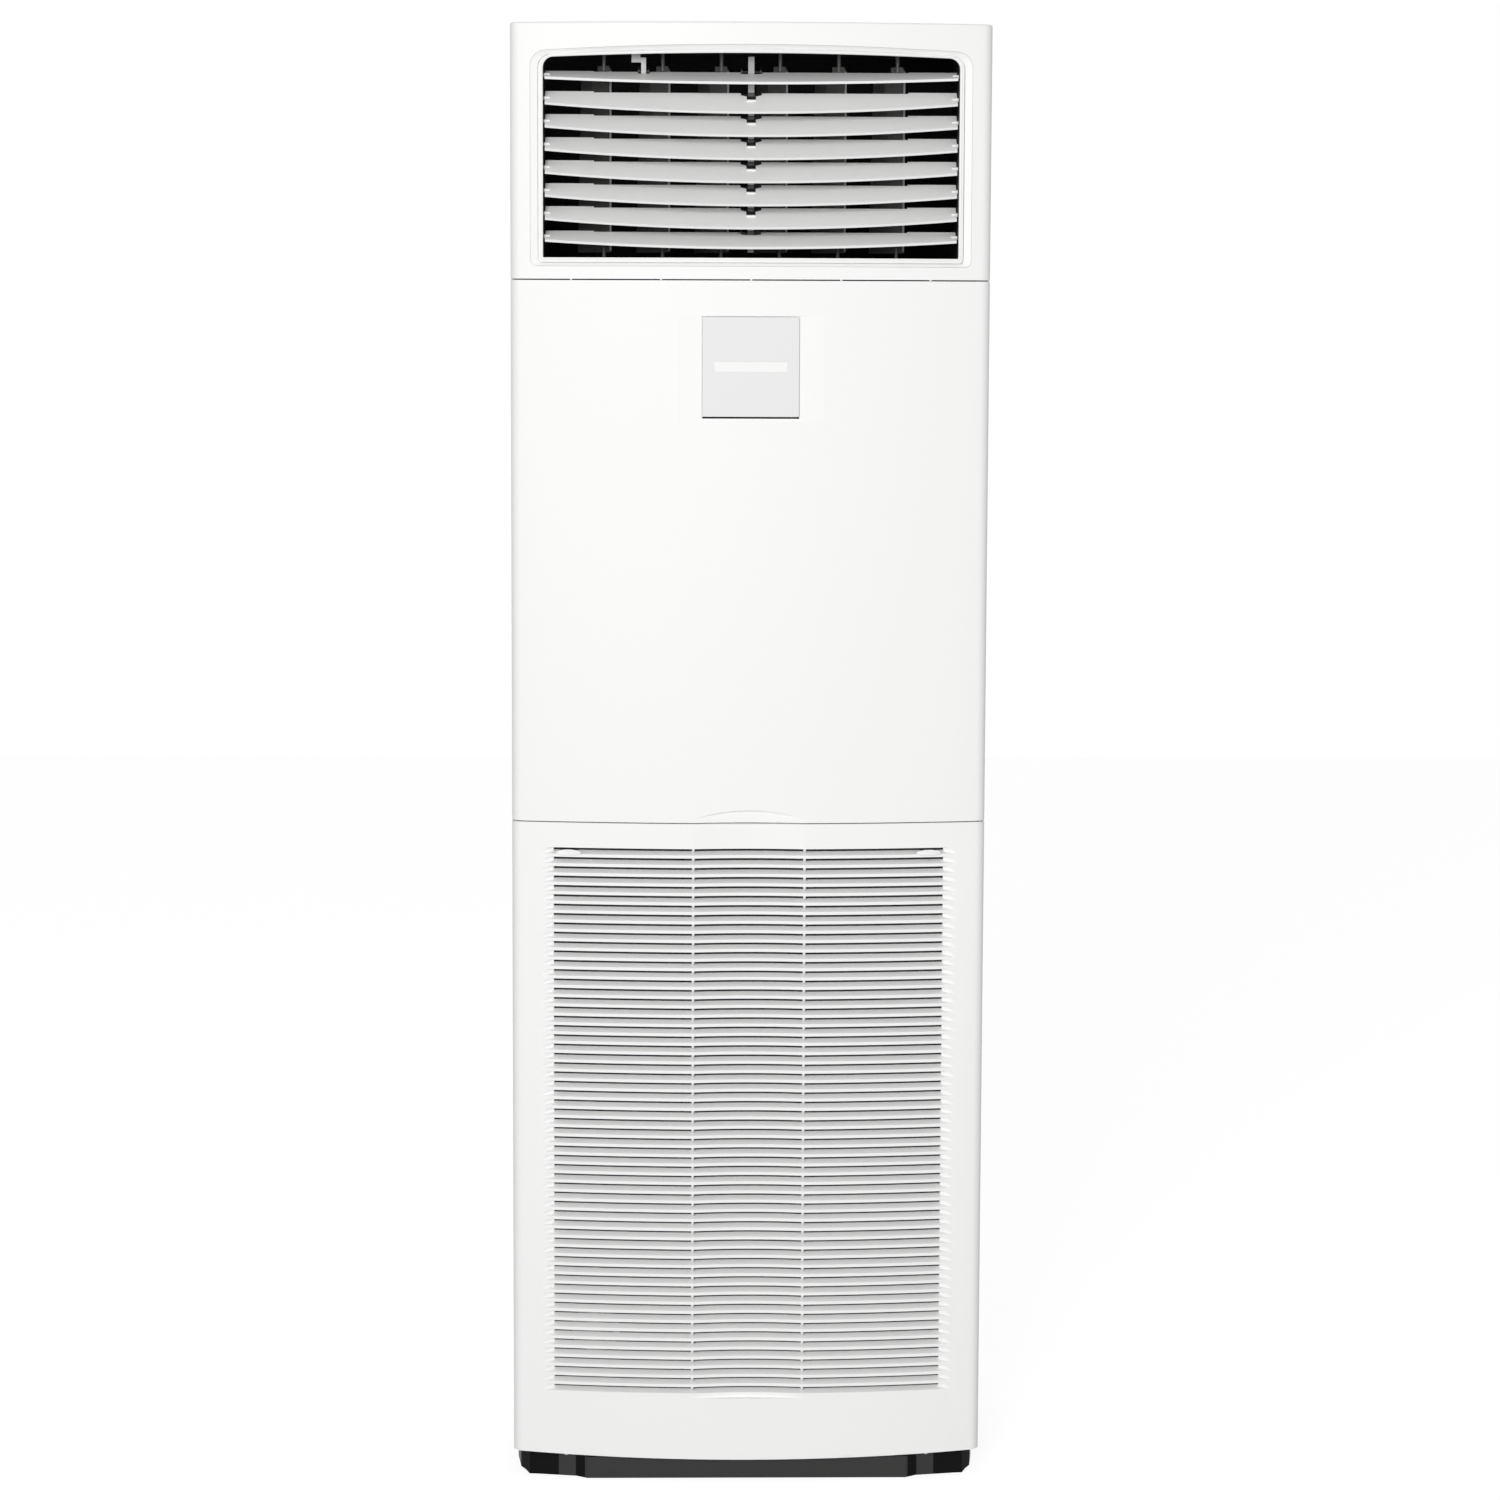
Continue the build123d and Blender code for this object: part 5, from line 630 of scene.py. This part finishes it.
def flute_ring(x, share, sizes):
    """Section of the flute cutter at x, share of the way along the run-out."""
    face_y = front_face(x)
    floor = sizes.first - sizes.opening
    roof = floor + sizes.opening * (1 - share ** ROOF_POWER) * ROOF_SHARE
    depth = max(sizes.flute * (1 - share) ** DEPTH_POWER, LEAST * MM)
    rise = min(BLADE_SLOPE * depth, (roof - floor) * RISE_SHARE)
    ahead = AHEAD * MM
    return [(x, face_y - ahead, floor), (x, face_y, floor), (x, face_y + depth, floor + rise),
            (x, face_y + depth, max(roof, floor + rise + LEAST_BACK * MM)),
            (x, face_y - ahead, max(roof, floor + LEAST * MM))]


def oval_latch(node):
    """Latch with a black stem and an oval finger tab that is flatter at its foot."""
    def ahead(spot):
        return spot.y < front_face(spot.x) - STEM_END * MM

    latch = skin(node)
    tab = [v.co.copy() for v in latch.data.vertices if ahead(v.co)]
    low = Vector([min(c[k] for c in tab) for k in range(3)])
    high = Vector([max(c[k] for c in tab) for k in range(3)])
    work = bmesh.new()
    work.from_mesh(latch.data)
    plate = [f for f in work.faces if all(ahead(v.co) for v in f.verts)]
    bmesh.ops.delete(work, geom=plate, context="FACES")
    for face in work.faces:
        face.material_index = 1
    work.to_mesh(latch.data)
    work.free()
    latch.data.materials.append(finish_for("clip_black_and_painted_shade"))
    middle, half = (low + high) / 2, (high - low) / 2
    rings = []
    for proud, shrink in DISC_RINGS:
        ring = []
        for a in angles(DISC_STEPS):
            x = middle.x + half.x * shrink * cos(a)
            rise = sin(a) if sin(a) > 0 else -abs(sin(a)) ** 0.5
            ring.append((x, front_face(x) - proud * MM, middle.z + half.z * shrink * rise))
        rings.append(ring)
    disc = smooth_piece("latch_disc", rings, "front_plastic")
    return joined(node + "_oval", [latch, disc])


class AIRCON_OT_grille(bpy.types.Operator):
    """Cut the flutes at the ends of the grille's slots and dress the latch tabs"""
    bl_idname = "aircon.grille"
    bl_label = "Intake grille"

    def execute(self, context):
        sizes = context.scene.aircon_grille
        cutters = []
        for side in (-1, 1):
            rings = [flute_ring(side * (sizes.end - FLUTE_START * MM), 0.0, sizes)]
            rings += [flute_ring(side * (sizes.end + share * sizes.run_out), share, sizes)
                      for share in FLUTE_SHARES]
            cutters.append(outward(new_piece("flute_cutter", *loft(rings))))
        cutter = joined("flute_cutters", cutters)
        down = [0.0, 0.0, -sizes.pitch]
        repeat(cutter, sizes.slots, down, "front_plastic")
        grille = cut_away(skin("intake_grille"), cutter)
        webs = []
        for x in (-sizes.rib_x, sizes.rib_x):
            y, half = front_face(x), sizes.rib / 2
            web = box_piece("web", (x - half, y + WEB_FRONT * MM, sizes.first - sizes.web),
                            (x + half, y + WEB_BACK * MM, sizes.first + WEB_OVERLAP * MM))
            webs.append(repeat(web, sizes.slots, down, "front_plastic"))
        front = context.scene.aircon_front
        low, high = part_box("intake_grille")
        reach = high.x - FOOT_INSET * MM
        arc = (high.x ** 2 + front.skirt_rise ** 2) / (2 * front.skirt_rise)
        path = []
        for i in range(FOOT_STEPS + 1):
            x = reach * (2 * i / FOOT_STEPS - 1)
            path.append((x, front_face(x) + front.roll,
                         low.z + arc - sqrt(arc ** 2 - x ** 2) + front.roll))
        roll = bead("foot_roll", path, front.roll)
        stand_for(joined("intake_grille_fluted", [grille, *webs, roll]), "intake_grille")
        for node in ("latch_tab_left", "latch_tab_right"):
            stand_for(oval_latch(node), node)
        return {"FINISHED"}


class AIRCON_OT_display(bpy.types.Operator):
    """Dress the display plate and its bare strip"""
    bl_idname = "aircon.display"
    bl_label = "Display plate"

    def execute(self, context):
        dress("display_plate", "name_strip")
        return {"FINISHED"}


# The louvres and their linkage, in millimetres and degrees.
LOUVRES, LOUVRE_TILT = 8, 32.0
PIVOT_DEPTH, FIRST_PIVOT = 34.0, 64.4  # behind the front, below the top
# A pad's finish 1 is the clip black as painted shade in the notch; finish 0 is the white of the
# lip.
# Pads along the blade's chord from its pivot: front, back, top, and the index of the finish.
PADS = ((-6.0, 4.0, 1.3, 1), (-8.0, -6.0, 2.6, 0))
PAD_HALF, PAD_BOTTOM = 5.7, 0.9
# Dark boxes on the link bar's front are painted shade where it shows through the notches:
SHADE_STRIP_PROUD, SHADE_STRIP_SINK = 0.2, 0.1  # ahead of the bar's front and into it
SHADE_STRIP_TOP, SHADE_STRIP_BOTTOM = 1.0, 11.0  # below a louvre's highest point
BAR_CLEAR = 0.03  # that the bar's front is set back
HOLDER_HALF, HOLDER_DEPTH = 13.5, 12.0  # of the holder painted dark as shade: to each side, and from the rear
ARM_SETBACK = 3.0  # of the drive arm's holder from the arm's right side


def link_pads(node, pitch):
    """Pad before a louvre's notch painted dark as shade, and the white lip that ends it."""
    index = int(node[-1]) - 1
    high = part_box("top_cover")[1].z
    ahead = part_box("outlet_panel")[0].y
    pivot = Vector((0.0, ahead + PIVOT_DEPTH * MM, high - FIRST_PIVOT * MM - index * pitch))
    place = Matrix.Translation(pivot) @ Matrix.Rotation(radians(LOUVRE_TILT), 4, "X")
    pads = []
    for front, back, top, shaded in PADS:
        pad = box_piece("pad", (-PAD_HALF * MM, front * MM, PAD_BOTTOM * MM),
                        (PAD_HALF * MM, back * MM, top * MM))
        pad.data.transform(place)
        for face in pad.data.polygons:
            face.material_index = shaded
        pads.append(pad)
    return pads


class AIRCON_OT_louvres(bpy.types.Operator):
    """Dress the louvres, their link bar, drive arm and crank"""
    bl_idname = "aircon.louvres"
    bl_label = "Louvres"

    def execute(self, context):
        show_skins("louvre_drive_arm", "louvre_crank", "louvre_motor")
        shaded = finish_for("clip_black_and_painted_shade")
        bar, second, third = (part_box(n) for n in ("louvre_link_bar", "louvre_2", "louvre_3"))
        pitch = second[1].z - third[1].z
        # Clip black boxes on the bar's front: painted shade where it shows through the louvres'
        # notches.
        clip_black_and_painted_shade = box_piece(
            "clip_black_and_painted_shade", (bar[0].x, bar[0].y - SHADE_STRIP_PROUD * MM, second[1].z - SHADE_STRIP_BOTTOM * MM),
            (bar[1].x, bar[0].y + SHADE_STRIP_SINK * MM, second[1].z - SHADE_STRIP_TOP * MM))
        repeat(clip_black_and_painted_shade, LOUVRES - 1, [0.0, 0.0, -pitch], "clip_black_and_painted_shade")
        clip_black_and_painted_shade.data.materials.clear()
        link = skin("louvre_link_bar")
        link.data.materials.append(shaded)
        # The front stays clear of louvre 1's notch at the upper limit of the swing.
        for corner in link.data.vertices:
            corner.co.y = max(corner.co.y, bar[0].y + BAR_CLEAR * MM)
        for face in clip_black_and_painted_shade.data.polygons:
            face.material_index = 1
        stand_for(joined("louvre_link_bar_clipped", [link, clip_black_and_painted_shade]), "louvre_link_bar")
        # Faces at the rear of each louvre by its middle, and by the drive arm on louvre 1, get the
        # clip black as painted shade.
        holders = {"louvre_1": (0.0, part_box("louvre_drive_arm")[1].x - ARM_SETBACK * MM)}
        for index in range(1, LOUVRES + 1):
            node = "louvre_%d" % index
            blade = skin(node)
            blade.data.materials.append(shaded)
            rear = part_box(node)[1].y
            for face in blade.data.polygons:
                corners = [blade.data.vertices[v].co for v in face.vertices]
                for x in holders.get(node, (0.0,)):
                    if all(abs(c.x - x) < HOLDER_HALF * MM and rear - c.y < HOLDER_DEPTH * MM
                           for c in corners):
                        face.material_index = 1
            if 2 <= index < LOUVRES:
                blade = joined(node + "_clipped", [blade, *link_pads(node, pitch)])
            stand_for(blade, node)
        return {"FINISHED"}


# The bead along a vane's front edge, in millimetres. Its light grey is a painted highlight.
BEAD_RADIUS, BEAD_INSET, BEAD_STEPS = 1.25, 1.35, 12
BEAD_FOOT, BEAD_HEAD = 280.0, 58.0  # below the top


class AIRCON_OT_vanes(bpy.types.Operator):
    """Dress the upright vanes, their link rod and the motor"""
    bl_idname = "aircon.vanes"
    bl_label = "Vanes"

    def execute(self, context):
        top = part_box("top_cover")[1].z
        for node in [n for n in NODES if n.startswith("vane_")]:
            if not node[-1].isdigit():
                show_skins(node)
                continue
            low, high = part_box(node)
            radius, inset = BEAD_RADIUS * MM, BEAD_INSET * MM
            rings = [[(high.x - inset + radius * cos(a), low.y + inset + radius * sin(a), z)
                      for a in angles(BEAD_STEPS)]
                     for z in (top - BEAD_FOOT * MM, top - BEAD_HEAD * MM)]
            # The bead takes the link bar's light grey: a painted highlight along the dark vane's
            # edge.
            edge = smooth_piece("edge", rings, "link_plastic")
            blade = skin(node)
            blade.data.materials.append(edge.data.materials[0])
            for face in edge.data.polygons:
                face.material_index = 1
            stand_for(joined(node + "_with_painted_highlight", [blade, edge]), node)
        return {"FINISHED"}


class AIRCON_OT_duct(bpy.types.Operator):
    """Dress the outlet duct, the foam liner and the baffle"""
    bl_idname = "aircon.duct"
    bl_label = "Outlet duct"

    def execute(self, context):
        show_skins("outlet_duct")
        dress("air_channel_liner", "front_baffle")
        return {"FINISHED"}


# Where the plinth's recesses begin and end, in millimetres inward from the cabinet's side.
# Their front faces, like the strip under the front panels, get painted shade.
RECESSES = (-1.0, 58.0, 80.0, 92.0)
SHADE_DROP = 1.0  # of the foot of the strip painted with shade, below the grille
FACING = 0.2  # how much a face looks forward to count as front


def plinth_with_painted_shade():
    """Plinth whose recesses and strip under the front panels are left a duller black as painted
    shade.
    """
    plinth = skin("base_plinth")
    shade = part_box("intake_grille")[0].z - SHADE_DROP * MM
    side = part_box("left_side_panel")[0].x
    work = bmesh.new()
    work.from_mesh(plinth.data)
    cuts = [((0.0, 0.0, shade), (0.0, 0.0, 1.0))]
    for inward in RECESSES:
        x = abs(side) - inward * MM
        cuts += [((sign * x, 0.0, 0.0), (1.0, 0.0, 0.0)) for sign in (-1, 1)]
    for spot, normal in cuts:
        bmesh.ops.bisect_plane(work, geom=work.verts[:] + work.edges[:] + work.faces[:],
                               plane_co=spot, plane_no=normal)
    for face in work.faces:
        middle = face.calc_center_median()
        inward = (abs(side) - abs(middle.x)) / MM
        recess = any(a < inward < b for a, b in zip(RECESSES[::2], RECESSES[1::2]))
        # Front faces in a recess, or above the strip's foot, take the painted shade.
        if face.normal.y < -FACING and (recess or middle.z > shade):
            face.material_index = 1
    work.to_mesh(plinth.data)
    work.free()
    plinth.data.materials.append(finish_for("matt"))
    return soften(plinth)


class AIRCON_OT_cabinet(bpy.types.Operator):
    """Dress the plinth, the sheet panels and their screws"""
    bl_idname = "aircon.cabinet"
    bl_label = "Cabinet"

    def execute(self, context):
        show_skins("cabinet_screws")
        stand_for(plinth_with_painted_shade(), "base_plinth")
        dress("base_plate", "left_side_panel", "right_side_panel", "rear_panel", "fan_deck")
        return {"FINISHED"}


class AIRCON_OT_filter(bpy.types.Operator):
    """Weave the filter net in its frame"""
    bl_idname = "aircon.filter"
    bl_label = "Air filter"

    def execute(self, context):
        sizes = context.scene.aircon_inside
        low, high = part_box("filter_net")
        span = high - low
        weft = box_piece("weft", (low.x, low.y, low.z),
                         (high.x, low.y + sizes.thread / 2, low.z + sizes.thread))
        rows = int((span.z - sizes.thread) / sizes.net_pitch) + 1
        repeat(weft, rows, [0.0, 0.0, sizes.net_pitch], "filter_net_fabric")
        warp = box_piece("warp", (low.x, low.y + sizes.thread / 2, low.z),
                         (low.x + sizes.thread, low.y + sizes.thread, high.z))
        columns = int((span.x - sizes.thread) / sizes.net_pitch) + 1
        repeat(warp, columns, [sizes.net_pitch, 0.0, 0.0], "filter_net_fabric")
        stand_for(joined("filter_net_woven", [weft, warp]), "filter_net")
        dress("filter_frame")
        return {"FINISHED"}


COIL_LEAN, COIL_THICKNESS = 20.0, 40.0  # degrees from upright, millimetres


class AIRCON_OT_coil(bpy.types.Operator):
    """Stack the coil's foil fins and dress its pipes, the pan and the hose"""
    bl_idname = "aircon.coil"
    bl_label = "Coil"

    def execute(self, context):
        sizes = context.scene.aircon_inside
        low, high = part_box("evaporator_fins")
        lean, thick = radians(COIL_LEAN), COIL_THICKNESS * MM
        long = (high.z - low.z - thick * sin(lean)) / cos(lean)
        foot = Vector((low.x, low.y + thick / 2 * cos(lean), low.z + thick / 2 * sin(lean)))
        place = Matrix.Translation(foot) @ Matrix.Rotation(-lean, 4, "X")
        fin = box_piece("fin", (0.0, -thick / 2, 0.0), (sizes.fin_foil, thick / 2, long))
        fin.data.transform(place)
        count = int((high.x - low.x - sizes.fin_foil) / sizes.fin_pitch) + 1
        repeat(fin, count, [sizes.fin_pitch, 0.0, 0.0], "fin_aluminium")
        fin.name = "evaporator_foil_fins"
        stand_for(fin, "evaporator_fins")
        show_skins("evaporator_return_bends", "gas_pipe", "liquid_pipe", "flare_nuts", "drain_hose",
                   "drain_pan")
        dress("evaporator_end_plates")
        return {"FINISHED"}


# The impeller, in millimetres.
FAN_SLACK = 0.2  # inside the solid's own outline
BLADE_CHORD, BLADE_HALF, BLADE_GAP = 28.0, 0.6, 1.0  # depth, half thickness, rear end
BLADE_TURN, BLADE_CURL = 0.03, 0.075  # radians that a blade turns forward, and curls on top
BORE_RADIUS, HUB_RADIUS, HUB_LENGTH, DISC = 6.0, 16.0, 30.0, 2.5
RING_WALL, RING_WIDTH = 3.0, 8.0
BLADE_SECTIONS, FAN_STEPS = 6, 96


class AIRCON_OT_fan(bpy.types.Operator):
    """Build the impeller with curved blades and dress the scroll and the motor"""
    bl_idname = "aircon.fan"
    bl_label = "Fan"

    def execute(self, context):
        low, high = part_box("fan_impeller")
        middle = Vector(((low.x + high.x) / 2, 0.0, (low.z + high.z) / 2))
        outer = (high.x - low.x) / 2 - FAN_SLACK * MM
        inner = outer - BLADE_CHORD * MM
        rear = high.y - BLADE_GAP * MM
        sections = []
        for i in range(BLADE_SECTIONS + 1):
            share = i / BLADE_SECTIONS
            r = inner + (outer - inner) * share
            turn = BLADE_CURL * share ** 2 + BLADE_TURN * share
            half = BLADE_HALF * MM / r
            sections.append([
                (middle.x + r * cos(turn + s * half), y, middle.z + r * sin(turn + s * half))
                for s, y in ((-1, low.y), (1, low.y), (1, rear), (-1, rear))])
        blade = outward(new_piece("fan_blade", *loft(sections)))
        repeat_round(blade, context.scene.aircon_inside.blades, middle, "fan_plastic")
        bore, hub = BORE_RADIUS * MM, HUB_RADIUS * MM
        hub_y, disc_y = high.y - HUB_LENGTH * MM, high.y - DISC * MM
        disc = turned("fan_disc", [(bore, hub_y), (hub, hub_y), (hub, disc_y), (outer, disc_y),
                                   (outer, high.y), (bore, high.y)], FAN_STEPS, middle)
        ring_in, ring_y = outer - RING_WALL * MM, low.y + RING_WIDTH * MM
        ring = turned("fan_ring", [(ring_in, low.y), (outer, low.y), (outer, ring_y),
                                   (ring_in, ring_y)], FAN_STEPS, middle)
        stand_for(joined("fan_wheel", [blade, disc, ring]), "fan_impeller")
        show_skins("fan_shaft", "fan_motor", "motor_bracket", "bell_mouth", "scroll_wall",
                   "scroll_front_plate", "scroll_back_plate")
        return {"FINISHED"}


class AIRCON_OT_controls(bpy.types.Operator):
    """Dress the control box and what it holds"""
    bl_idname = "aircon.controls"
    bl_label = "Control box"

    def execute(self, context):
        show_skins("control_board")
        dress("control_box", "control_box_cover", "terminal_block")
        return {"FINISHED"}


def add_lamp(name, place, aim, size, watts):
    lamp = bpy.data.lights.new(name, "AREA")
    lamp.shape = "RECTANGLE"
    lamp.size, lamp.size_y = size
    lamp.energy = watts
    holder = add_object(name, lamp)
    holder.location = place
    direction = Vector(aim) - Vector(place)
    holder.rotation_euler = direction.to_track_quat("-Z", "Y").to_euler()
    return holder


# The photograph's own viewpoint, found from the cabinet's edges: metres, radians, millimetres.
CAMERA_PLACE = (-0.1037, -5.0741, 1.4992)
CAMERA_TURN = (0.02131, 0.11234, 0.00385)  # yaw, pitch, roll
SENSOR, LENS = 36.0, 94.062
VIEW_END, FLOOR_HALF = 100.0, 8.0  # metres
PAPER, FAINT, GLOW = 0.55, 0.3, 0.86  # grey of the floor, and the grey and glow that are seen
# Lamps: place, aim and size.
KEY_LAMP = ((-2.2, -9.0, 3.2), (0.0, 0.0, 0.6), (2.8, 2.8))
FILL_LAMP = ((1.9, -4.8, 0.7), (0.0, 0.0, 0.5), (2.0, 1.4))


def add_camera():
    """Camera at the photograph's viewpoint."""
    lens = bpy.data.cameras.new("camera")
    lens.sensor_width = SENSOR
    lens.lens = LENS
    lens.clip_end = VIEW_END
    yaw, pitch, roll = CAMERA_TURN
    ahead = Vector((sin(yaw) * cos(pitch), cos(yaw) * cos(pitch), -sin(pitch)))
    right = Vector((cos(yaw), -sin(yaw), 0.0))
    up = right.cross(ahead)
    right, up = cos(roll) * right + sin(roll) * up, -sin(roll) * right + cos(roll) * up
    camera = add_object("camera", lens)
    x, y, z = CAMERA_PLACE
    camera.matrix_world = Matrix((
        (right.x, up.x, -ahead.x, x), (right.y, up.y, -ahead.y, y),
        (right.z, up.z, -ahead.z, z), (0.0, 0.0, 0.0, 1.0)))
    bpy.context.scene.camera = camera


def seen_directly(tree):
    """1 for rays from the camera, a mirror or glass."""
    rays = add_node(tree, "ShaderNodeLightPath")
    seen = rays.outputs["Is Camera Ray"]
    for kind in ("Is Glossy Ray", "Is Transmission Ray"):
        seen = add_node(tree, "ShaderNodeMath", {0: seen, 1: rays.outputs[kind]},
                        operation="MAXIMUM").outputs[0]
    return seen


def white_world(strength):
    """Even light from all round, seen as plain white."""
    world = bpy.data.worlds.new("white studio")
    bpy.context.scene.world = world
    tree = fresh_tree(world)
    light, seen = [add_node(tree, "ShaderNodeBackground", (),
                            {"Color": (1, 1, 1, 1), "Strength": level}).outputs[0]
                   for level in (strength, 1.0)]
    both = add_node(tree, "ShaderNodeMixShader", {0: seen_directly(tree), 1: light, 2: seen})
    add_node(tree, "ShaderNodeOutputWorld", {"Surface": both.outputs[0]})


def white_floor():
    """Pale floor that keeps the shadow, and reads as white where light reaches it."""
    floor = new_piece("floor", [(x * FLOOR_HALF, y * FLOOR_HALF, 0.0) for x, y in
                                ((-1, -1), (1, -1), (1, 1), (-1, 1))], [[0, 1, 2, 3]])
    material = bpy.data.materials.new("paper floor, white")
    tree = fresh_tree(material)
    paper, faint = [add_node(tree, "ShaderNodeBsdfDiffuse", (), {"Color": (grey, grey, grey, 1)})
                    for grey in (PAPER, FAINT)]
    glow = add_node(tree, "ShaderNodeEmission", (), {"Color": (1, 1, 1, 1), "Strength": GLOW})
    lit = add_node(tree, "ShaderNodeAddShader", {0: faint.outputs[0], 1: glow.outputs[0]})
    both = add_node(tree, "ShaderNodeMixShader", {0: seen_directly(tree), 1: paper.outputs[0],
                                                  2: lit.outputs[0]})
    add_node(tree, "ShaderNodeOutputMaterial", {"Surface": both.outputs[0]})
    floor.data.materials.append(material)
    return floor


class AIRCON_OT_stage(bpy.types.Operator):
    """Set the white floor, the soft lamps and the camera"""
    bl_idname = "aircon.stage"
    bl_label = "Stage"

    def execute(self, context):
        light = context.scene.aircon_stage
        white_world(light.sky)
        floor = white_floor()
        key = add_lamp("key lamp", *KEY_LAMP, light.key)
        fill = add_lamp("fill lamp", *FILL_LAMP, light.fill)
        add_camera()
        context.scene.view_settings.view_transform = "Standard"
        return {"FINISHED"}


class AIRCON_PT_sidebar(bpy.types.Panel):
    """Lists the pieces of the air conditioner"""
    bl_label = "Air conditioner"
    bl_idname = "AIRCON_PT_sidebar"
    bl_space_type = "VIEW_3D"
    bl_region_type = "UI"
    bl_category = "Air conditioner"

    def draw(self, context):
        for operator in OPERATORS:
            self.layout.operator(operator.bl_idname)
        for settings in [getattr(context.scene, name) for name in SETTINGS]:
            for key in settings.bl_rna.properties.keys():
                if key not in ("rna_type", "name"):
                    self.layout.prop(settings, key)


OPERATORS = (AIRCON_OT_finishes, AIRCON_OT_front_panels, AIRCON_OT_grille, AIRCON_OT_display,
             AIRCON_OT_louvres, AIRCON_OT_vanes, AIRCON_OT_duct, AIRCON_OT_cabinet,
             AIRCON_OT_filter, AIRCON_OT_coil, AIRCON_OT_fan, AIRCON_OT_controls, AIRCON_OT_stage)
SETTINGS = {"aircon_finishes": AirconFinishes, "aircon_front": AirconFront,
            "aircon_grille": AirconGrille, "aircon_inside": AirconInside,
            "aircon_stage": AirconStage}


def register():
    for kind in (*SETTINGS.values(), *OPERATORS, AIRCON_PT_sidebar):
        bpy.utils.register_class(kind)
    for name, kind in SETTINGS.items():
        setattr(bpy.types.Scene, name, bpy.props.PointerProperty(type=kind))


def unregister():
    for name in SETTINGS:
        delattr(bpy.types.Scene, name)
    for kind in (AIRCON_PT_sidebar, *reversed(OPERATORS), *reversed(SETTINGS.values())):
        bpy.utils.unregister_class(kind)


def main():
    register()
    for operator in OPERATORS:
        group, action = operator.bl_idname.split(".")
        getattr(getattr(bpy.ops, group), action)()


if __name__ == "__main__":
    main()
